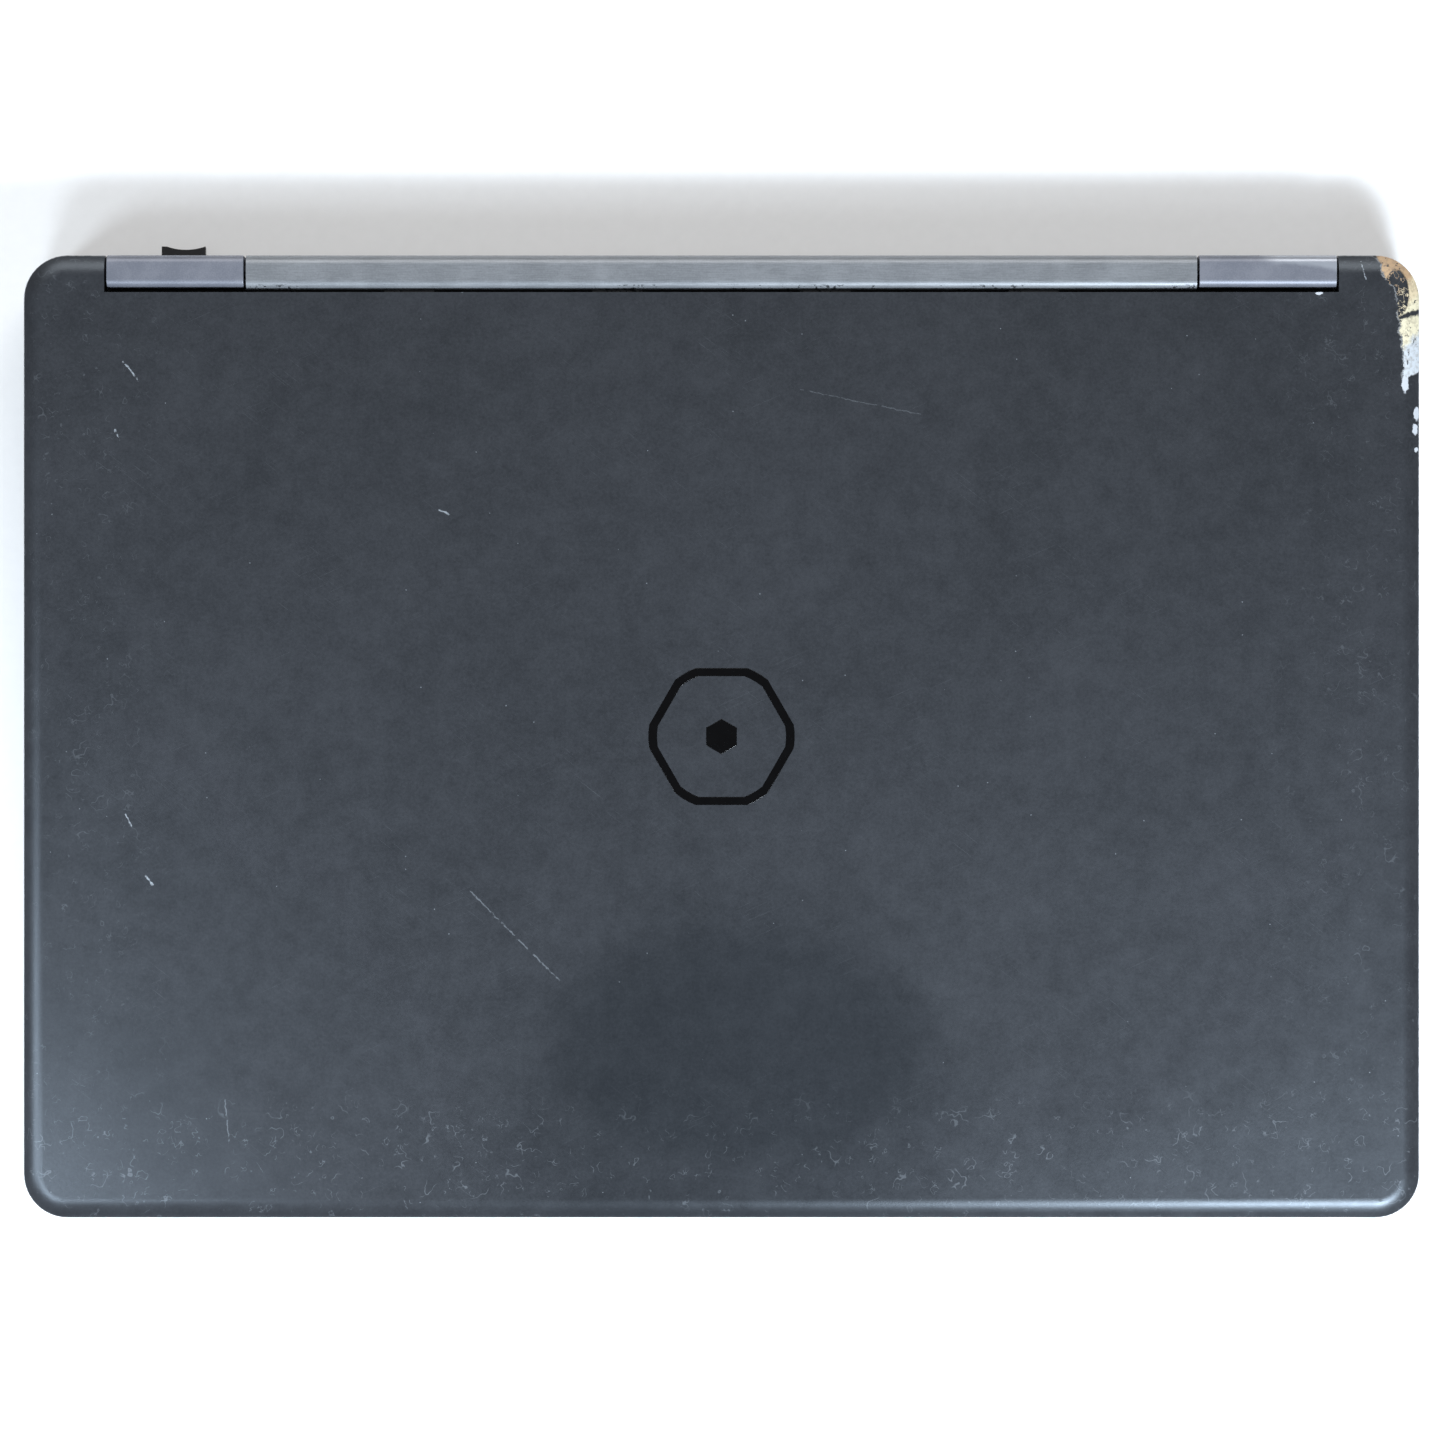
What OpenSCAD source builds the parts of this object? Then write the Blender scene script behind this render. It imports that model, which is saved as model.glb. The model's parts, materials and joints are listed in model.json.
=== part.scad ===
// A 14-inch business laptop, closed, resting on its feet.
// Millimetres. +Z is up, the front edge faces -Y, the hinge runs along X at the rear.
// The origin is under the middle of the laptop, on the surface it stands on.

/* [Body] */
// Width of the closed laptop
body_w = 335; // [333:1:340]
// Depth of the closed laptop
body_d = 231; // [230:1:233]
// Plan radius of the four corners
corner_r = 10.5; // [8:0.5:12]
// Height of the rubber feet under the bottom cover
foot_h = 1.6; // [1.4:0.1:2]
// Height at which the bottom cover meets the upper case
split_z = 5; // [4.8:0.1:5.2]
// Height of the palm rest deck
deck_z = 15.2; // [15:0.1:15.6]
// Wall thickness of the base
wall = 1.8; // [1.6:0.1:2]

/* [Lid] */
// Gap between deck and bezel that the bumpers keep
lid_gap = 0.6; // [0.5:0.1:0.8]
// Thickness of the lid
lid_t = 6.6; // [6.4:0.1:7]
// Wall thickness of the lid cover
lid_wall = 1.6; // [1.4:0.1:1.8]
// Width over which the lid's upper face rolls down to its edge
rim_w = 5; // [3:0.1:6]
// Height that it loses over that width
rim_drop = 1.5; // [1:0.1:1.6]
// Radius of the edge below the roll
edge_r = 0.8; // [0.5:0.1:1]
// Width of the lit screen area
screen_w = 309.4; // [300:0.2:310]
// Height of the lit screen area
screen_h = 174; // [170:0.2:175]

/* [Hinge] */
// Length of each hinge cap
cap_w = 32.9; // [30:0.1:34]
// Depth of each hinge cap
cap_d = 7.8; // [7.6:0.1:8]
// Distance from the side of the laptop to a hinge cap
cap_inset = 20; // [19:0.1:21]
// Radius of the hinge shaft
shaft_r = 1.5; // [1.3:0.05:1.6]

/* [Keyboard] */
// Width of one key unit
key_pitch = 19; // [18.6:0.2:19]
// Depth of a full row of keys
row_pitch = 18.8; // [18.4:0.1:18.9]
// Depth of the function row
short_pitch = 12; // [11:0.1:12.2]
// Gap between neighbouring key caps
key_gap = 2.6; // [2.4:0.1:3]

/* [Network jaw] */
// How far the jaw's lip stands out behind the rear edge
lip_out = 3.6; // [1:0.1:3.6]
// Width of the jaw's lip
lip_w = 10.6; // [8:0.1:12]

/* [Hidden] */
$fn = 48;
eps = 0.01;
half_w = body_w / 2;
half_d = body_d / 2;
fit_gap = 0.3;
run_gap = 0.05;

// Base shell
floor_t = 1.4;
deck_t = 1.8;
belly = 3;
floor_top = foot_h + floor_t;
deck_under = deck_z - deck_t;
trough_z = deck_z - 1;
trough_y = half_d - 9.8;
trough_under = trough_z - 1.2;

// Lid
lid_z = deck_z + lid_gap;
lid_top = lid_z + lid_t;
lid_roof = lid_top - lid_wall;
bezel_z = lid_z + 0.1;
bezel_t = 1.2;
panel_z = bezel_z + bezel_t + 0.1;
panel_t = 3;
screen_y = -12.4;
notch_y = half_d - 9;
trim_d = 8.4;
trim_gap = 0.6;

// Section of the lid at a corner: its lower edge steps in, a small round and a parabola lead to the top
rim_steps = 6;
edge_z = lid_top - rim_drop - edge_r;
rim_fall = rim_drop + edge_r * (1 - sin(60));
rim_section = concat(
    [[0, edge_z], [corner_r - 0.3, lid_z], [corner_r, lid_z + 0.6]],
    [for (a = [0:15:45]) [corner_r - edge_r + edge_r * cos(a), edge_z + edge_r * sin(a)]],
    [for (i = [rim_steps:-1:0]) let (t = i / rim_steps)
        [corner_r - rim_w + (rim_w - edge_r / 2) * t, lid_top - rim_fall * t * t]]);

// Hinge
axis_y = half_d - cap_d / 2;
axis_z = lid_top - 3.2;
sweep_r = 4.7;
cap_x1 = half_w - cap_inset;
cap_x0 = cap_x1 - cap_w;
corner_x = cap_x1 + 0.5;
sleeve_r = shaft_r + 0.75;
sleeve_gap = 0.15;
bracket_z = trough_under - 1.2;
web_x0 = cap_x1 - 8;
web_w = 7;
arm_z0 = lid_roof - 1.4;
arm_z1 = lid_roof - 0.4;

// Keyboard: the widths of each row's keys in key units, from the left
function_row = [for (i = [0:14]) 1];
number_row = concat([for (i = [0:12]) 1], [2]);
upper_row = concat([1.5], [for (i = [0:11]) 1], [1.5]);
home_row = concat([1.75], [for (i = [0:10]) 1], [2.25]);
lower_row = concat([2.25], [for (i = [0:9]) 1], [2.75]);
modifier_row = [1.25, 1, 1, 1, 4.75, 1, 1, 1];
rows = [function_row, number_row, upper_row, home_row, lower_row, modifier_row];
space_index = 4;
arrow_start = 12;
kb_x0 = -7.5 * key_pitch;
kb_y1 = 94;
kb_w = 15 * key_pitch;
kb_d = short_pitch + 5 * row_pitch;
kb_y0 = kb_y1 - kb_d;
kb_margin = 1.2;
cap_h = 2;
cap_skin = 0.8;
cap_wall = 0.9;
dome_r = 2.4;
dome_h = 1.2;
key_slack = 0.35;
lattice_z = deck_z - 2;
lattice_t = 1;
plate_z = 9.7;
plate_t = 0.9;
plate_top = plate_z + plate_t;
arrow_d = row_pitch / 2 - 2.2;
arrow_shift = (row_pitch - key_gap - arrow_d) / 2;
stick_x = kb_x0 + 6.75 * key_pitch;
stick_y = kb_y1 - short_pitch - 3 * row_pitch;

// Touchpad and its five buttons
pad_x = stick_x;
pad_w = 99;
pad_d = 53;
pad_y1 = -29.5;
stick_button_d = 10;
stick_button_y = -22.5;
pad_button_d = 11.5;
pad_button_y = -90;
power_at = [111, 100.4];
power_size = [15, 5.4];

// Sockets: where each one's middle is, along its own wall
network_x = -130.8;
rear_usb_x = -100;
hdmi_x = -74;
power_jack_x = 128;
left_usb_y = 28;
right_usb_y = 4;
headset_y = -20;
dc_r = 2.85;
dc_len = 11;
headset_r = 1.8;
headset_len = 14;
sd_y = -51;
vga_y = 46;
vga_pitch = 25;
lock_y = 84;
jaw_pivot = [-15.5, -2.9];
smart_y = -46;
socket_z = 9;

// Fasteners and feet
screw_xy = [[-160, 104], [160, 104], [-50, 106.5], [50, 106.5],
            [-160, -5], [160, -30], [-120, -107.5], [73, -107.5]];
bracket_screw_xy = [[150.5, 101], [150.5, 109]];
screw_r = 1;
boss_r = 3;
foot_xy = [[-118, -98], [118, -98], [-118, 92], [118, 92]];
foot_size = [46, 9];
foot_sink = 0.8;

// Inside
board_z = 8.4;
board_t = 1;
fan_at = [-122, 66];
fan_r = 24;
fan_z = 3.5;
fan_h = 5.6;
fin_x = -158.5;
battery_w = 212;
battery_at = [-38, -60];
drive_at = [113.5, -61.5];

// ---------- Shapes that repeat ----------

// Rectangle with true round corners, centred
module rounded(w, d, r) {
    square([w - 2 * r, d], center = true);
    square([w, d - 2 * r], center = true);
    for (sx = [-1, 1], sy = [-1, 1])
        translate([sx * (w / 2 - r), sy * (d / 2 - r)]) circle(r);
}

module slab(w, d, r, z0, z1) {
    translate([0, 0, z0]) linear_extrude(z1 - z0) rounded(w, d, r);
}

// Body outline pulled in by a distance, between two heights
module outline_slab(inset, z0, z1) {
    slab(body_w - 2 * inset, body_d - 2 * inset, max(1, corner_r - inset), z0, z1);
}

// Box given by its lowest and highest corners
module box(lo, hi) {
    translate(lo) cube(hi - lo);
}

module rod_x(r, x0, x1, y, z) {
    translate([x0, y, z]) rotate([0, 90, 0]) cylinder(r = r, h = x1 - x0);
}

module rod_y(r, x, y0, y1, z) {
    translate([x, y0, z]) rotate([-90, 0, 0]) cylinder(r = r, h = y1 - y0);
}

module rod_z(r, x, y, z0, z1) {
    translate([x, y, z0]) cylinder(r = r, h = z1 - z0);
}

// Turns a socket drawn with its mouth at the origin, facing +Y, towards its wall
module at_rear(x) { translate([x, half_d, socket_z]) children(); }
module at_left(y) { translate([-half_w, y, socket_z]) rotate([0, 0, 90]) children(); }
module at_right(y) { translate([half_w, y, socket_z]) rotate([0, 0, -90]) children(); }

// ---------- Base shell ----------

module slot_row(n, pitch, size, z0, z1) {
    for (i = [0:n - 1])
        translate([0, (i - (n - 1) / 2) * pitch, 0])
            slab(size[0], size[1], size[1] / 2 - eps, z0, z1);
}

module bottom_cover() color("#24262a") difference() {
    hull() {
        outline_slab(belly, foot_h, foot_h + 0.2);
        outline_slab(0, split_z - 1, split_z);
    }
    outline_slab(belly + 0.6, floor_top, split_z + 1);
    outline_slab(wall, split_z - 0.7, split_z + 1);
    for (p = foot_xy)
        translate(p) slab(foot_size[0] + 0.4, foot_size[1] + 0.4, foot_size[1] / 2, 0, foot_h + foot_sink);
    for (p = screw_xy) translate(p) {
        rod_z(screw_r + 0.1, 0, 0, 0, split_z);
        rod_z(2.4, 0, 0, 0, foot_h + 0.7);
    }
    // Air intake under the fan
    translate(fan_at) slot_row(8, 4.4, [34, 2.2], 0, split_z);
    // Speaker slots near the front corners
    for (sx = [-1, 1]) translate([sx * 140, -76]) slot_row(6, 3, [12, 1.4], 0, split_z);
    // Opening for the dock connector
    translate([0, 62]) slab(82, 10, 2, 0, split_z);
    // Notch that the network jaw drops through
    box([network_x - 7.6, half_d - 17.2, 0], [network_x + 7.6, half_d + 1, split_z + 1]);
}

// Flat-head machine screw standing on its head, with a round drive recess
module screw(z0, z1) {
    difference() {
        rod_z(2.3, 0, 0, z0, z0 + 0.6);
        rod_z(0.9, 0, 0, z0 - 0.1, z0 + 0.3);
    }
    rod_z(screw_r, 0, 0, z0 + 0.6, z1);
}

module case_screws() color("#8a8d92") {
    for (p = screw_xy) translate(p) screw(foot_h + 0.1, floor_top + 5);
    for (p = bracket_screw_xy, sx = [-1, 1])
        translate([sx * p[0], p[1]]) screw(bracket_z - 0.7, trough_z - 0.4);
}

module rubber_feet() color("#17181a") for (p = foot_xy) translate(p)
    slab(foot_size[0], foot_size[1], foot_size[1] / 2 - eps, 0, foot_h + foot_sink);

// The openings of the deck and walls, all in one place
module deck_openings() {
    // Keyboard well
    translate([0, (kb_y0 + kb_y1) / 2])
        slab(kb_w + 2 * kb_margin, kb_d + 2 * kb_margin, 2, lattice_z, deck_z + 1);
    translate([0, (kb_y0 + kb_y1) / 2])
        slab(kb_w - 1, kb_d - 1, 1.6, deck_z - 5, deck_z + 1);
    // Touchpad and buttons
    translate([pad_x, 0]) {
        for (b = [[stick_button_y, stick_button_d + 0.6, 0.6], [pad_y1 - pad_d / 2, pad_d + 0.3, 0.3],
                [pad_button_y, pad_button_d + 0.6, 0.6]])
            translate([0, b[0]]) slab(pad_w + b[2], b[1], 1.2, deck_under - 1, deck_z + 1);
    }
    translate(power_at) slab(power_size[0] + 0.5, power_size[1] + 0.5, 2.6, deck_under - 1, deck_z + 1);
    // Trough under the lid's rear roll
    box([-half_w - 1, trough_y, trough_z], [half_w + 1, half_d + 1, deck_z + 1]);
    // Slots for the hinge webs
    for (sx = [-1, 1])
        box([sx * (web_x0 + web_w / 2) - web_w / 2 - fit_gap, axis_y - 1.5, trough_under - 1],
            [sx * (web_x0 + web_w / 2) + web_w / 2 + fit_gap, axis_y + 1.5, trough_z + 1]);
    // Finger scoop in the front edge
    translate([0, -half_d - 12.5, deck_z + 4]) rotate([0, 90, 0]) cylinder(r = 14, h = 52, center = true);
}

module wall_openings() {
    at_rear(network_x) box([-7.6, -8, split_z - socket_z - 1], [7.6, 1, 3.3]);
    at_rear(rear_usb_x) box([-6.9, -4, -3.1], [6.9, 1, 3.1]);
    at_rear(hdmi_x) box([-7.8, -4, -3], [7.8, 1, 3]);
    at_rear(power_jack_x) rod_y(3.7, 0, -4, 1, 0);
    at_left(left_usb_y) box([-6.9, -4, -3.1], [6.9, 1, 3.1]);
    at_right(right_usb_y) box([-6.9, -4, -3.1], [6.9, 1, 3.1]);
    at_right(headset_y) rod_y(3.1, 0, -4, 1, 0);
    at_right(vga_y) {
        box([-8.9, -4, -4.1], [8.9, 1, 4.1]);
        for (sx = [-1, 1]) rod_y(3.1, sx * vga_pitch / 2, -4, 1, 0);
    }
    at_right(sd_y) box([-12.3, -4, 1.7], [12.3, 1, 4.1]);
    at_left(smart_y) box([-27.3, -4, 2.2], [27.3, 1, 3.6]);
    // Security lock slot
    at_right(lock_y) box([-3.5, -4, -1.5], [3.5, 1, 1.5]);
    // Exhaust grille
    for (i = [0:10]) at_left(fan_at[1] + (i - 5) * 4.2) box([-1.4, -4, -3.4], [1.4, 1, 1]);
    // Status light windows
    for (x = [-150, -144, -138]) box([x - 1.2, -half_d - 1, 10.2], [x + 1.2, -half_d + 4, 11.2]);
}

module palm_rest() color("#2b2d31") difference() {
    union() {
        difference() {
            outline_slab(0, split_z, deck_z);
            intersection() {
                outline_slab(wall, split_z - 1, deck_under);
                box([-half_w, -half_d, 0], [half_w, trough_y - 2, deck_z]);
            }
            outline_slab(wall, split_z - 1, trough_under);
        }
        for (p = screw_xy) translate(p) rod_z(boss_r, 0, 0, floor_top + 0.1, deck_under + 0.3);
        // Ledge that carries the keyboard lattice
        translate([0, (kb_y0 + kb_y1) / 2]) slab(kb_w + 6, kb_d + 6, 3, deck_z - 4, deck_under + 0.2);
    }
    deck_openings();
    wall_openings();
    for (p = screw_xy) translate(p) rod_z(screw_r + 0.05, 0, 0, floor_top, floor_top + 5.5);
    for (p = bracket_screw_xy, sx = [-1, 1])
        translate([sx * p[0], p[1]]) rod_z(screw_r + 0.05, 0, 0, trough_under - 1, trough_z - 0.3);
}

// ---------- Keyboard ----------

function row_y(i) = i == 0 ? kb_y1 - short_pitch / 2
    : kb_y1 - short_pitch - (i - 0.5) * row_pitch;
function row_d(i) = i == 0 ? short_pitch : row_pitch;
function before(list, i) = i == 0 ? 0 : list[i - 1] + before(list, i - 1);

// Places a child square of one key's outline: key k of row i, grown by a margin
module key_outline(i, k, grow) {
    w = rows[i][k] * key_pitch - key_gap + 2 * grow;
    d = row_d(i) - key_gap + 2 * grow;
    translate([kb_x0 + (before(rows[i], k) + rows[i][k] / 2) * key_pitch, row_y(i)])
        rounded(w, d, 1.2);
}

// The six half-height keys at the right end of the modifier row
module arrow_outline(k, half, grow) {
    translate([kb_x0 + (arrow_start + k + 0.5) * key_pitch, row_y(5) + half * arrow_shift])
        rounded(key_pitch - key_gap + 2 * grow, arrow_d + 2 * grow, 1);
}

module stick_clearance(r) { rod_z(r, stick_x, stick_y, 0, deck_z + 2); }

// Straight block over an outline, between two heights
module block(z0, z1) {
    translate([0, 0, z0]) linear_extrude(z1 - z0) children();
}

// Key caps of row i, from one key to another, hollow underneath
module keys(i, from, to) color("#1b1c1f") difference() {
    for (k = [from:to]) block(deck_z - cap_h, deck_z) key_outline(i, k, 0);
    for (k = [from:to]) block(deck_z - cap_h - 1, deck_z - cap_skin) key_outline(i, k, -cap_wall);
    stick_clearance(5.3);
}

module keys_function_row() { keys(0, 0, len(function_row) - 1); }
module keys_number_row() { keys(1, 0, len(number_row) - 1); }
module keys_upper_row() { keys(2, 0, len(upper_row) - 1); }
module keys_home_row() { keys(3, 0, len(home_row) - 2); }
module enter_key() { keys(3, len(home_row) - 1, len(home_row) - 1); }
module keys_lower_row() { keys(4, 0, len(lower_row) - 1); }
module keys_modifier_row() {
    keys(5, 0, space_index - 1);
    keys(5, space_index + 1, len(modifier_row) - 1);
}
module space_bar() { keys(5, space_index, space_index); }
module arrow_keys() color("#1b1c1f") difference() {
    for (k = [0:2], half = [-1, 1]) block(deck_z - cap_h, deck_z) arrow_outline(k, half, 0);
    for (k = [0:2], half = [-1, 1])
        block(deck_z - cap_h - 1, deck_z - cap_skin) arrow_outline(k, half, -cap_wall);
}

module keyboard_lattice() color("#202226") difference() {
    translate([0, 0, lattice_z]) linear_extrude(lattice_t) difference() {
        translate([0, (kb_y0 + kb_y1) / 2])
            rounded(kb_w + 2 * kb_margin - 0.4, kb_d + 2 * kb_margin - 0.4, 1.8);
        for (i = [0:5], k = [0:len(rows[i]) - 1]) key_outline(i, k, key_slack);
        for (k = [0:2], half = [-1, 1]) arrow_outline(k, half, key_slack);
    }
    stick_clearance(5.3);
}

module keyboard_plate() color("#6c7076") difference() {
    translate([0, (kb_y0 + kb_y1) / 2]) slab(kb_w - 5, kb_d - 5, 2, plate_z, plate_z + plate_t);
    for (x = [-110, -40, 40, 110], y = [kb_y0 + 8, kb_y1 - 8]) rod_z(1.1, x, y, 0, deck_z);
}

// Places a child at the middle of every key
module at_keys() {
    for (i = [0:5], k = [0:len(rows[i]) - 1])
        translate([kb_x0 + (before(rows[i], k) + rows[i][k] / 2) * key_pitch, row_y(i)]) children();
    for (k = [0:2], half = [-1, 1])
        translate([kb_x0 + (arrow_start + k + 0.5) * key_pitch, row_y(5) + half * arrow_shift]) children();
}

// Rubber sheet on the plate with a spring dome under each key
module dome_sheet() color("#8b8f94") difference() {
    union() {
        translate([0, (kb_y0 + kb_y1) / 2]) slab(kb_w - 6, kb_d - 6, 2, plate_top, plate_top + 0.3);
        at_keys() rod_z(dome_r, 0, 0, plate_top + 0.2, plate_top + dome_h);
    }
    stick_clearance(4.5);
}

module pointing_stick() color("#3b3e44") {
    rod_z(2.2, stick_x, stick_y, plate_top, deck_z - 1.6);
    rod_z(3.9, stick_x, stick_y, deck_z - 1.6, deck_z + 0.2);
}

// ---------- Touchpad and buttons ----------

module touchpad() color("#2f3136") {
    translate([pad_x, pad_y1 - pad_d / 2]) {
        slab(pad_w, pad_d, 1.3, deck_z - 1.4, deck_z - 0.2);
        slab(pad_w - 12, pad_d - 8, 1, deck_z - 2.6, deck_z - 1.4);
    }
}

// One button whose top is flush with the deck, standing on a narrower stem
module deck_button(x, y, w, d) {
    translate([x, y]) {
        slab(w, d, 0.9, deck_z - 1.6, deck_z - 0.1);
        slab(w - 6, d - 4, 0.9, deck_z - 2.8, deck_z - 1.6);
    }
}

module stick_button(i) color("#26282c") {
    w = pad_w / 3 - 0.5;
    deck_button(pad_x + i * pad_w / 3, stick_button_y, w, stick_button_d);
}

module pad_button(side) color("#26282c") {
    w = pad_w / 2 - 0.5;
    deck_button(pad_x + side * pad_w / 4, pad_button_y, w, pad_button_d);
}

module stick_button_left() { stick_button(-1); }
module stick_button_middle() { stick_button(0); }
module stick_button_right() { stick_button(1); }
module pad_button_left() { pad_button(-1); }
module pad_button_right() { pad_button(1); }

module power_button() color("#34363b") translate(power_at) {
    slab(power_size[0], power_size[1], 2.4, deck_z - 1.6, deck_z - 0.05);
    slab(6, 2.4, 0.8, deck_z - 2.8, deck_z - 1.6);
}

// ---------- Hinge ----------

// Half-moon section of the hinge line, drawn in Y and Z and run along X
module roll(x0, x1, y0, y1, z0, z1, r) {
    translate([x0, 0, 0]) rotate([90, 0, 90]) linear_extrude(x1 - x0)
        translate([(y0 + y1) / 2, (z0 + z1) / 2]) rounded(y1 - y0, z1 - z0, r);
}

module hinge_cap() {
    y0 = half_d - cap_d;
    difference() {
        union() {
            roll(cap_x0, cap_x1, y0, half_d, lid_z + 1, lid_top, 2);
            box([cap_x0, y0, trough_z], [cap_x1, half_d, lid_top - 3]);
        }
        rod_x(sleeve_r + sleeve_gap, cap_x0 + 1.2, cap_x1 - 0.9, axis_y, axis_z);
        box([cap_x0 + 1.2, axis_y - sleeve_r - sleeve_gap, trough_z - 1],
            [cap_x1 - 0.9, axis_y + sleeve_r + sleeve_gap, axis_z]);
        rod_x(shaft_r + 0.08, cap_x0 - 1, cap_x0 + 2, axis_y, axis_z);
    }
}

module hinge_cap_right() color("#8f95a3") hinge_cap();
module hinge_cap_left() color("#8f95a3") mirror([1, 0, 0]) hinge_cap();

// Base side of the hinge: friction sleeve, web down through the deck, foot under it
module hinge_bracket() {
    difference() {
        union() {
            rod_x(sleeve_r, cap_x0 + 2, cap_x1 - 1.4, axis_y, axis_z);
            box([web_x0, axis_y - 1.2, bracket_z], [web_x0 + web_w, axis_y + 1.2, axis_z - 1]);
            box([web_x0, 98, bracket_z], [web_x0 + web_w + 7.5, axis_y + 1.2, trough_under - 0.1]);
        }
        rod_x(shaft_r + run_gap, cap_x0 + 1, cap_x1, axis_y, axis_z);
        for (p = bracket_screw_xy) rod_z(screw_r + 0.1, p[0], p[1], 0, deck_z);
    }
}

module hinge_bracket_right() color("#a7aab0") hinge_bracket();
module hinge_bracket_left() color("#a7aab0") mirror([1, 0, 0]) hinge_bracket();

// Lid side of the hinge: shaft, knuckle inside the trim, plate and side strap inside the lid
module hinge_arm() {
    knuckle_x0 = cap_x0 - 11;
    knuckle_x1 = cap_x0 - 2;
    difference() {
        union() {
            rod_x(shaft_r, knuckle_x0, cap_x1 - 1.6, axis_y, axis_z);
            box([knuckle_x0, axis_y - 2.2, axis_z - 1.4], [knuckle_x1, axis_y + 2.2, arm_z1]);
            box([knuckle_x0, 84, arm_z0], [knuckle_x1, axis_y, arm_z1]);
            box([knuckle_x0, 84, arm_z0], [half_w - lid_wall - 1.2, 103, arm_z1]);
            box([half_w - 6.2, -12, arm_z0 - 1], [half_w - lid_wall - 1.2, 103, arm_z1]);
        }
        for (x = [half_w - 52, half_w - 32, half_w - 14]) rod_z(1.3, x, 93, 0, lid_top);
    }
}

module hinge_arm_right() color("#a7aab0") hinge_arm();
module hinge_arm_left() color("#a7aab0") mirror([1, 0, 0]) hinge_arm();

// ---------- Lid ----------

// Plan of the lid's rear notch, grown by a margin, where the caps and the trim sit
module notch(grow) {
    translate([-corner_x - grow, notch_y - grow]) square([2 * (corner_x + grow), 20 + grow]);
}

// Slot through the rear wall of the cover and the front wall of the trim
module trim_slots() {
    for (sx = [-1, 1])
        box([sx * (cap_x0 - 6.5) - 4.9, notch_y - 3, arm_z0 - 0.2],
            [sx * (cap_x0 - 6.5) + 4.9, axis_y - 1, arm_z1 + 0.2]);
    box([-96, notch_y - 3, panel_z + 0.6], [-84, axis_y - 1, panel_z + 1.8]);
}

// The lid's outer form, with the same section all round
module lid_form() {
    hull() for (sx = [-1, 1], sy = [-1, 1])
        translate([sx * (half_w - corner_r), sy * (half_d - corner_r), 0])
            rotate_extrude($fn = 48) polygon(rim_section);
}

// What the lid loses under its rear edge so that it can roll past the deck
module rear_relief() difference() {
    box([-half_w - 1, axis_y, lid_z - 1], [half_w + 1, half_d + 1, axis_z]);
    rod_x(sweep_r, -half_w - 2, half_w + 2, axis_y, axis_z);
}

module lid_cover() color("#3c414a") difference() {
    lid_form();
    rear_relief();
    translate([0, 0, lid_z - 1]) linear_extrude(lid_t + 2) notch(0);
    translate([0, 0, lid_z - 1]) linear_extrude(lid_roof - lid_z + 1) difference() {
        rounded(body_w - 2 * lid_wall, body_d - 2 * lid_wall, corner_r - lid_wall);
        notch(1.4);
    }
    translate([0, 0, lid_top - 0.6]) linear_extrude(1) emblem_outline(0.05);
    trim_slots();
}

module lid_trim() color("#8b949e") {
    x = cap_x0 - trim_gap;
    y0 = half_d - trim_d;
    difference() {
        roll(-x, x, y0, half_d, lid_z, lid_top, 2.4);
        roll(-x - 1, x + 1, y0 + 1.2, half_d - 1.2, lid_z + 1.2, lid_top - 1.2, 1);
        trim_slots();
    }
    // Ribs that seat the trim against the cover
    for (rib = [-75, -25, 25, 75]) box([rib - 6, notch_y, lid_z + 1], [rib + 6, y0, lid_roof - 1]);
}

// Hexagon whose corners are rounded off by a circle
module soft_hexagon(r) intersection() {
    circle(r);
    circle(r * 1.08, $fn = 6);
}

// Plan of the badge: a hexagon ring with a small hexagon inside, grown by a margin
module emblem_outline(grow) {
    difference() {
        soft_hexagon(17.5 + grow);
        soft_hexagon(15.5 - grow);
    }
    rotate(30) circle(4.2 + grow, $fn = 6);
}

module lid_emblem() color("#0c0d0f")
    translate([0, 0, lid_top - 0.6]) linear_extrude(0.6) emblem_outline(0);

module display_bezel() color("#1d1e21") difference() {
    translate([0, 0, bezel_z]) linear_extrude(bezel_t) difference() {
        rounded(body_w - 2 * lid_wall - 0.2, body_d - 2 * lid_wall - 0.2, corner_r - lid_wall);
        notch(1.5);
        translate([0, screen_y]) rounded(screen_w + 1.6, screen_h + 1.6, 0.8);
    }
    rod_z(2.1, 0, screen_y - screen_h / 2 - 8, 0, panel_z);
    rod_z(0.7, 7, screen_y - screen_h / 2 - 8, 0, panel_z);
    for (x = [-24, 24]) rod_z(0.5, x, screen_y - screen_h / 2 - 8, 0, panel_z);
}

module display_panel() color("#b4b6ba")
    translate([0, screen_y + 2]) slab(screen_w + 11, screen_h + 11, 1, panel_z, panel_z + panel_t);

module screen_glass() color("#08090b")
    translate([0, screen_y]) slab(screen_w, screen_h, 0.4, panel_z - 0.3, panel_z);

module camera_module() color("#1f3a2a") {
    y = screen_y - screen_h / 2 - 8;
    box([-34, y - 3.2, panel_z], [34, y + 3.2, panel_z + 0.8]);
    rod_z(1.9, 0, y, bezel_z + 0.15, panel_z);
    box([-4, y - 3, panel_z + 0.8], [4, y + 3, panel_z + 2.4]);
    rod_z(0.6, 7, y, bezel_z + 0.15, panel_z);
}

module lid_bumpers() color("#17181a") for (p = [[-140, -109], [140, -109], [-156, 96], [156, 96]])
    translate(p) slab(9, 3.6, 1.7, deck_z + 0.1, bezel_z);

module display_cable() color("#35373b") {
    box([-95, screen_y + screen_h / 2 + 7.5, panel_z + 1], [-85, axis_y - 1, panel_z + 1.4]);
}

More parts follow.
